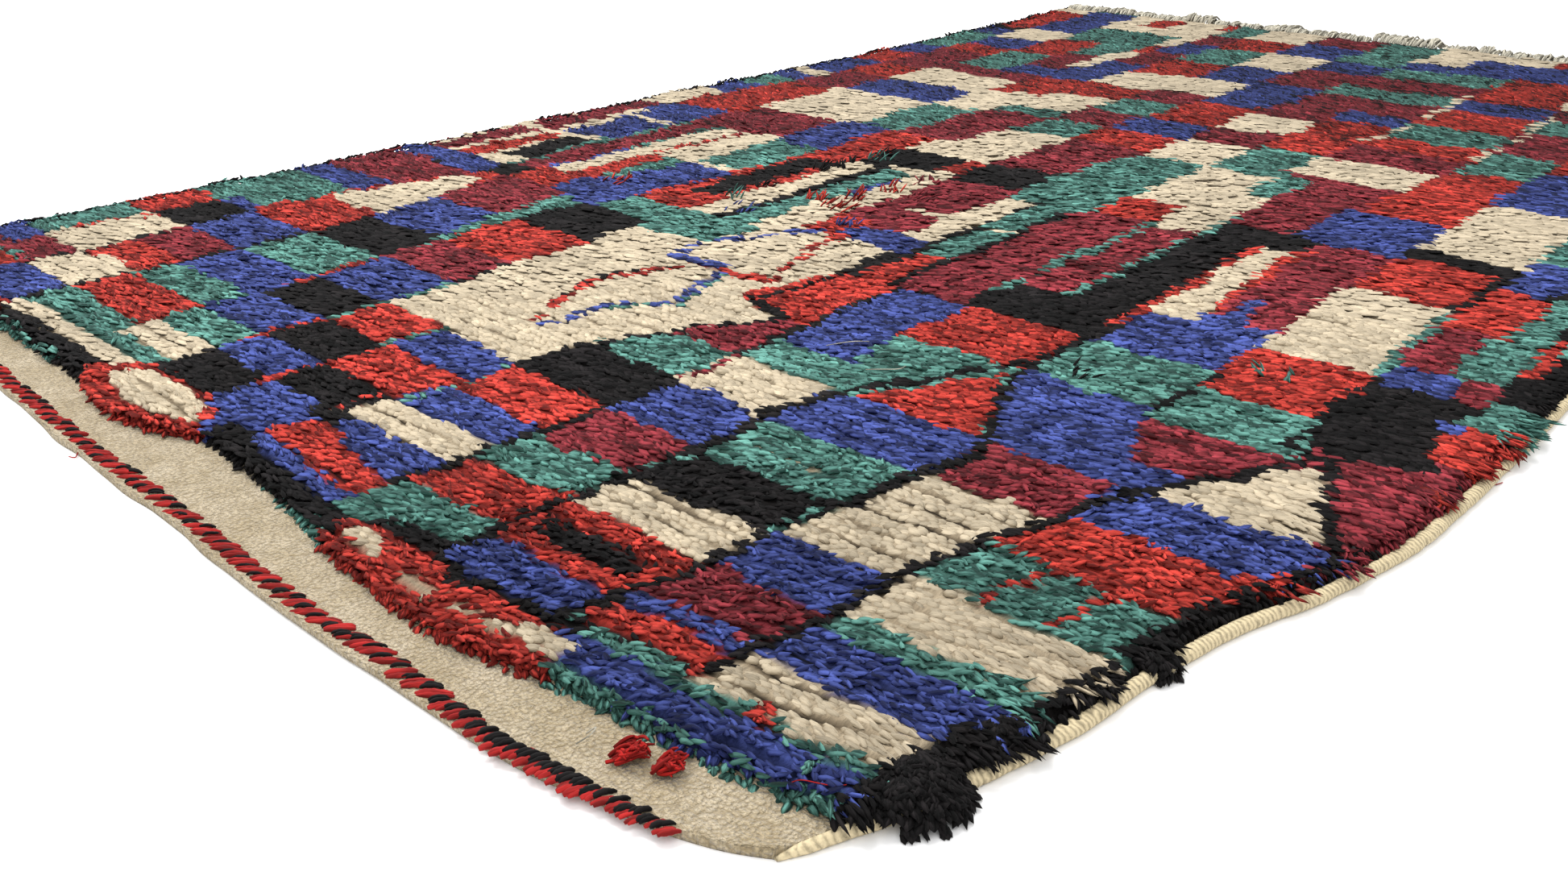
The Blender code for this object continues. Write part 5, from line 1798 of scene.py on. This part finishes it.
class RUG_OT_twine_end(bpy.types.Operator):
    """Sew the red and black twined line along the bare band"""

    bl_idname = "rug.twine_end"
    bl_label = "Twine end"

    def execute(self, context):
        scene = context.scene
        trim = scene.rug_trim
        cloth = scene.rug_cloth
        rng = np.random.default_rng(11)
        yarns = Yarns()
        left = float(ground_side(TWINING_DEPTH, -1, trim.cord_width))
        right = float(ground_side(TWINING_DEPTH, 1, trim.cord_width))
        middle, stop = TWINING_ENDS
        number = 0
        while middle < stop:
            crowded = np.interp(middle, TWINING_CROWDS, (0.0, 1.0))
            narrow = np.interp(middle, TWINING_NARROWS, (0.0, 1.0))
            black = number % 2
            loose, tight = TWINED_BLACK if black else TWINED_RED
            sizes = loose + (tight - loose) * crowded
            run, reach, thick, offset = sizes * (1, 1 - 0.35 * narrow, 1, 1)
            run *= rng.uniform(0.7, 1.3)
            offset += rng.uniform(-0.0016, 0.0016) * (1 + black * (1 - crowded))
            for ply in (-1, 1):
                part = np.linspace(-1.0, 1.0, 9)
                x = middle + part * run + ply * (0.75 - 0.3 * crowded) * thick + rng.uniform(-0.0012, 0.0012)
                fraction = (x - left) / (right - left)
                setback = np.interp(x, *TWINING_SETBACK) + part * reach + offset
                setback = setback + rng.uniform(-0.0012, 0.0012)
                forward = cloth_point(fraction, setback, trim.cord_width)[1]
                hump = np.sqrt(np.maximum(0.0, 1 - part**2 * 0.94))
                over = (0.0012 + 0.0012 * black) * hump + 0.0020 * crowded
                z = cloth.thickness + band_lift(fraction, setback) + over
                radius = thick * (1 - 0.3 * narrow) * (0.45 + 0.55 * hump) * rng.uniform(0.8, 1.2)
                radius *= 1 + rng.uniform(-0.18, 0.18, len(part))
                path = np.stack([x, forward, z], axis=1) + cad_shift()
                yarns.tube(path, radius, 5, rng.uniform(0.0, 1.0), black, 0.8)
            middle += trim.twine_pitch * (0.36 - 0.17 * crowded) * rng.uniform(0.75, 1.25)
            number += 1
        colours = scene.rug_colours
        materials = [
            wool_material("twined_red", tuple(colours.twined_red), variety=0.4, bump=0.0005),
            wool_material("twined_black", tuple(colours.black), variety=0.4, bump=0.0005),
        ]
        settle(yarns.build("twined_line", materials), "twined_wool", "end_twining")
        return {"FINISHED"}


def share(number, seed):
    """A fixed value between 0 and 1 for the piece with this number."""
    value = math.sin(number * 12.9898 + seed * 78.233) * 43758.5453
    return value - math.floor(value)


# The fringe has this many locks of this many strands. Their places, width and height along a strand follow
FRINGE_LOCKS = 46
FRINGE_STRANDS = 18
STRAND_SPREAD = ((0.0, 0.18, 0.40, 1.0), (1.0, 1.2, 0.8, 1.1))
STRAND_LIFT = ((0.0, 0.14, 0.45, 0.70, 1.0), (0.55, 0.95, 1.0, 0.50, 0.12))
STRAND_RADIUS = ((0.0, 0.2, 0.9, 1.0), (1.5, 1.9, 1.2, 0.3))
# Three yarns close the woven end: how far out and how high they lie
END_YARNS = ((0.0016, 0.0028), (0.0046, 0.0030), (0.0078, 0.0026))


class RUG_OT_knot_fringe(bpy.types.Operator):
    """Knot the warp ends at the far end into a fringe"""

    bl_idname = "rug.knot_fringe"
    bl_label = "Knot fringe"

    def execute(self, context):
        scene = context.scene
        trim = scene.rug_trim
        rng = np.random.default_rng(13)
        yarns = Yarns()
        for number in range(FRINGE_LOCKS):
            place = (number + 0.22 + 0.30 * share(number, 11.0)) / FRINGE_LOCKS
            length = 0.070 + 0.050 * share(number, 13.0)
            drift = 0.018 * float(uneven(number * 0.7, 2.0))
            high = 0.023 + 0.010 * max(0.0, float(uneven(number * 0.42, 5.0)))
            across, forward = cloth_point(place, RUG_LENGTH, trim.cord_width)
            middle = float(across) + 0.006
            for _ in range(FRINGE_STRANDS):
                lane = rng.uniform(-1.0, 1.0)
                part = np.linspace(0.0, 1.0, 8)
                reach = length * rng.uniform(0.5, 1.0)
                x = middle + lane * 0.0150 * np.interp(part, *STRAND_SPREAD) + drift * part**2
                x = x + 0.0030 * rng.normal(0, 1) * part + 0.0012 * np.sin(part * 9 + 6 * lane)
                y = float(forward) - PILE_STOP - 0.002 + reach * part
                z = 0.0016 + (high - 0.003) * np.interp(part, *STRAND_LIFT) * rng.uniform(0.72, 1.0)
                z = z + 0.0008 * rng.normal(0, 1, len(part))
                radius = trim.fringe_yarn / 2 * np.interp(part, *STRAND_RADIUS)
                path = np.stack([x, y, np.clip(z, radius + 0.0001, TALLEST)], axis=1) + cad_shift()
                yarns.tube(path, radius, 4, rng.uniform(0.0, 1.0))
        strip = np.linspace(0.0, 1.0, 160)
        across, forward = cloth_point(strip, RUG_LENGTH, trim.cord_width)
        for out, height in END_YARNS:
            wave = 0.0005 * np.sin(np.arange(len(strip)) * 2.1 + out * 900)
            path = np.stack([across, forward + out + wave, np.full(len(strip), height) + wave], axis=1)
            yarns.tube(path + cad_shift(), 0.0021, 5, 0.5)
        material = wool_material("fringe_wool", tuple(scene.rug_colours.fringe), variety=0.5)
        settle(yarns.build("fringe_ends", [material]), "ground_wool", "end_fringe")
        return {"FINISHED"}


# The small red bunches: their strands, and which way they are combed
BUNCH_STRANDS = 56
BUNCH_RADIUS = 0.0012
BRUSHED = (0.95, 0.31)


class RUG_OT_stitch_tufts(bpy.types.Operator):
    """Stitch the two small bunches of red yarn to the bare band and leave a few loose threads"""

    bl_idname = "rug.stitch_tufts"
    bl_label = "Stitch tufts"

    def execute(self, context):
        scene = context.scene
        material = wool_material("stitched_red", tuple(scene.rug_colours.stitched_red), variety=0.5)
        for node in ("end_tuft_1", "end_tuft_2"):
            low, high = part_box(node)
            middle = (low + high) / 2
            size = high - low
            rng = np.random.default_rng(17 if node.endswith("1") else 18)
            yarns = Yarns()
            reach = (size.x + size.y) / 4
            for _ in range(BUNCH_STRANDS):
                part = np.linspace(0.0, 1.0, 8)
                curl = rng.uniform(0.0, 1.0)
                start = -1.15 + rng.uniform(0.0, 0.7)
                ahead = start + rng.uniform(0.9, 1.7) * part * (1 - 0.22 * curl * part)
                aside = rng.uniform(-0.75, 0.75) + 0.30 * np.sin(part * rng.uniform(2, 5) + rng.uniform(0, 6))
                x = middle.x + reach * (ahead * BRUSHED[0] - aside * BRUSHED[1])
                y = middle.y + reach * (ahead * BRUSHED[1] + aside * BRUSHED[0])
                arch = rng.uniform(0.15, 0.75) * np.sin(0.25 + part * 2.2) + 0.75 * curl * part**3
                z = low.z + 0.0014 + (size.z - 0.0020) * np.clip(arch, 0.0, 1.25)
                radius = BUNCH_RADIUS * np.interp(part, (0, 0.5, 1), (1.0, 1.0, 0.5))
                yarns.tube(np.stack([x, y, z], axis=1), radius, 5, rng.uniform(0.0, 1.0))
            settle(yarns.build(node.replace("end_", "yarn_"), [material]), "tuft_wool", node)
        threads = Yarns()
        for red, radius, points in HAIRS:
            places = np.linspace(0.0, len(points) - 1.0, 4 * len(points))
            rows = np.column_stack([np.arange(len(points)), np.array(points) / MILLIMETRES])
            path = np.stack([read_curve(rows, places, column) for column in (1, 2, 3)], axis=1)
            threads.tube(path + cad_shift(), radius, 4, 0.6, 0 if red else 1)
        pale = wool_material("loose_wool", tuple(scene.rug_colours.fringe))
        settle(threads.build("loose_threads", [material, pale]), "tuft_wool", "rug")
        return {"FINISHED"}


FLOOR_WHITE = (0.93, 0.93, 0.93, 1.0)
# The soft lights: name, place, size and share of the key light's power
LAMPS = (
    ("key_light", (-1.4, -0.2, 3.4), 2.6, 1.0),
    ("fill_light", (1.8, -2.6, 3.0), 3.0, 0.35),
)


class RUG_OT_set_stage(bpy.types.Operator):
    """Lay a plain pale floor and set the soft lights and the camera"""

    bl_idname = "rug.set_stage"
    bl_label = "Set stage"

    def execute(self, context):
        scene = context.scene
        stage = scene.rug_stage
        half = stage.floor_size / 2
        corners = np.array([(-half, -half, 0), (half, -half, 0), (half, half, 0), (-half, half, 0)])
        paint = bpy.data.materials.new("floor_white")
        paint.use_nodes = True
        shader = paint.node_tree.nodes["Principled BSDF"]
        shader.inputs["Base Color"].default_value = FLOOR_WHITE
        shader.inputs["Roughness"].default_value = 0.9
        shader.inputs["Specular IOR Level"].default_value = 0.1
        floor = add_mesh("floor", corners - np.array([0, 0, 0.0002]), [np.array([[0, 1, 2, 3]])], [paint])

        world = bpy.data.worlds.new("studio")
        world.use_nodes = True
        background = world.node_tree.nodes["Background"]
        background.inputs["Color"].default_value = (1.0, 1.0, 1.0, 1.0)
        background.inputs["Strength"].default_value = stage.sky
        scene.world = world
        for name, place, size, power in LAMPS:
            lamp = bpy.data.lights.new(name, "AREA")
            lamp.size = size
            lamp.energy = stage.key * power
            obj = bpy.data.objects.new(name, lamp)
            obj.location = place
            obj.rotation_euler = (-Vector(place)).to_track_quat("-Z", "Y").to_euler()
            scene.collection.objects.link(obj)

        shift = cad_shift()
        camera = bpy.data.cameras.new("camera")
        camera.lens = stage.lens
        camera.sensor_width = 36.0
        camera.clip_start = 0.02
        camera.clip_end = 100.0
        eye = bpy.data.objects.new("camera", camera)
        eye.location = (stage.stand[0] + shift[0], stage.stand[1] + shift[1], stage.eye_height)
        eye.rotation_euler = (math.pi / 2 - stage.tilt, 0.0, stage.heading)
        scene.collection.objects.link(eye)
        scene.camera = eye
        scene.view_settings.view_transform = "Standard"
        scene.view_settings.look = "None"
        return {"FINISHED"}


OPERATORS = (
    RUG_OT_set_stage,
    RUG_OT_weave_ground,
    RUG_OT_knot_pile,
    RUG_OT_bind_sides,
    RUG_OT_twine_end,
    RUG_OT_knot_fringe,
    RUG_OT_stitch_tufts,
)
SETTINGS = (
    ("rug_cloth", ClothSizes),
    ("rug_pile", PileSizes),
    ("rug_colours", WoolColours),
    ("rug_trim", TrimSizes),
    ("rug_stage", StageSettings),
)


class RUG_PT_panel(bpy.types.Panel):
    """Lists the rug's sizes and colours and the steps that make it"""

    bl_idname = "RUG_PT_panel"
    bl_label = "Azilal rug"
    bl_space_type = "VIEW_3D"
    bl_region_type = "UI"
    bl_category = "Rug"

    def draw(self, context):
        for key, group in SETTINGS:
            box = self.layout.box()
            for name in group.__annotations__:
                box.prop(getattr(context.scene, key), name)
        for operator in OPERATORS:
            self.layout.operator(operator.bl_idname)


def register():
    for key, group in SETTINGS:
        bpy.utils.register_class(group)
        setattr(bpy.types.Scene, key, bpy.props.PointerProperty(type=group))
    for operator in OPERATORS:
        bpy.utils.register_class(operator)
    bpy.utils.register_class(RUG_PT_panel)


def unregister():
    bpy.utils.unregister_class(RUG_PT_panel)
    for operator in reversed(OPERATORS):
        bpy.utils.unregister_class(operator)
    for key, group in reversed(SETTINGS):
        delattr(bpy.types.Scene, key)
        bpy.utils.unregister_class(group)


def main():
    register()
    for operator in OPERATORS:
        family, name = operator.bl_idname.split(".")
        getattr(getattr(bpy.ops, family), name)()


if __name__ == "__main__":
    main()
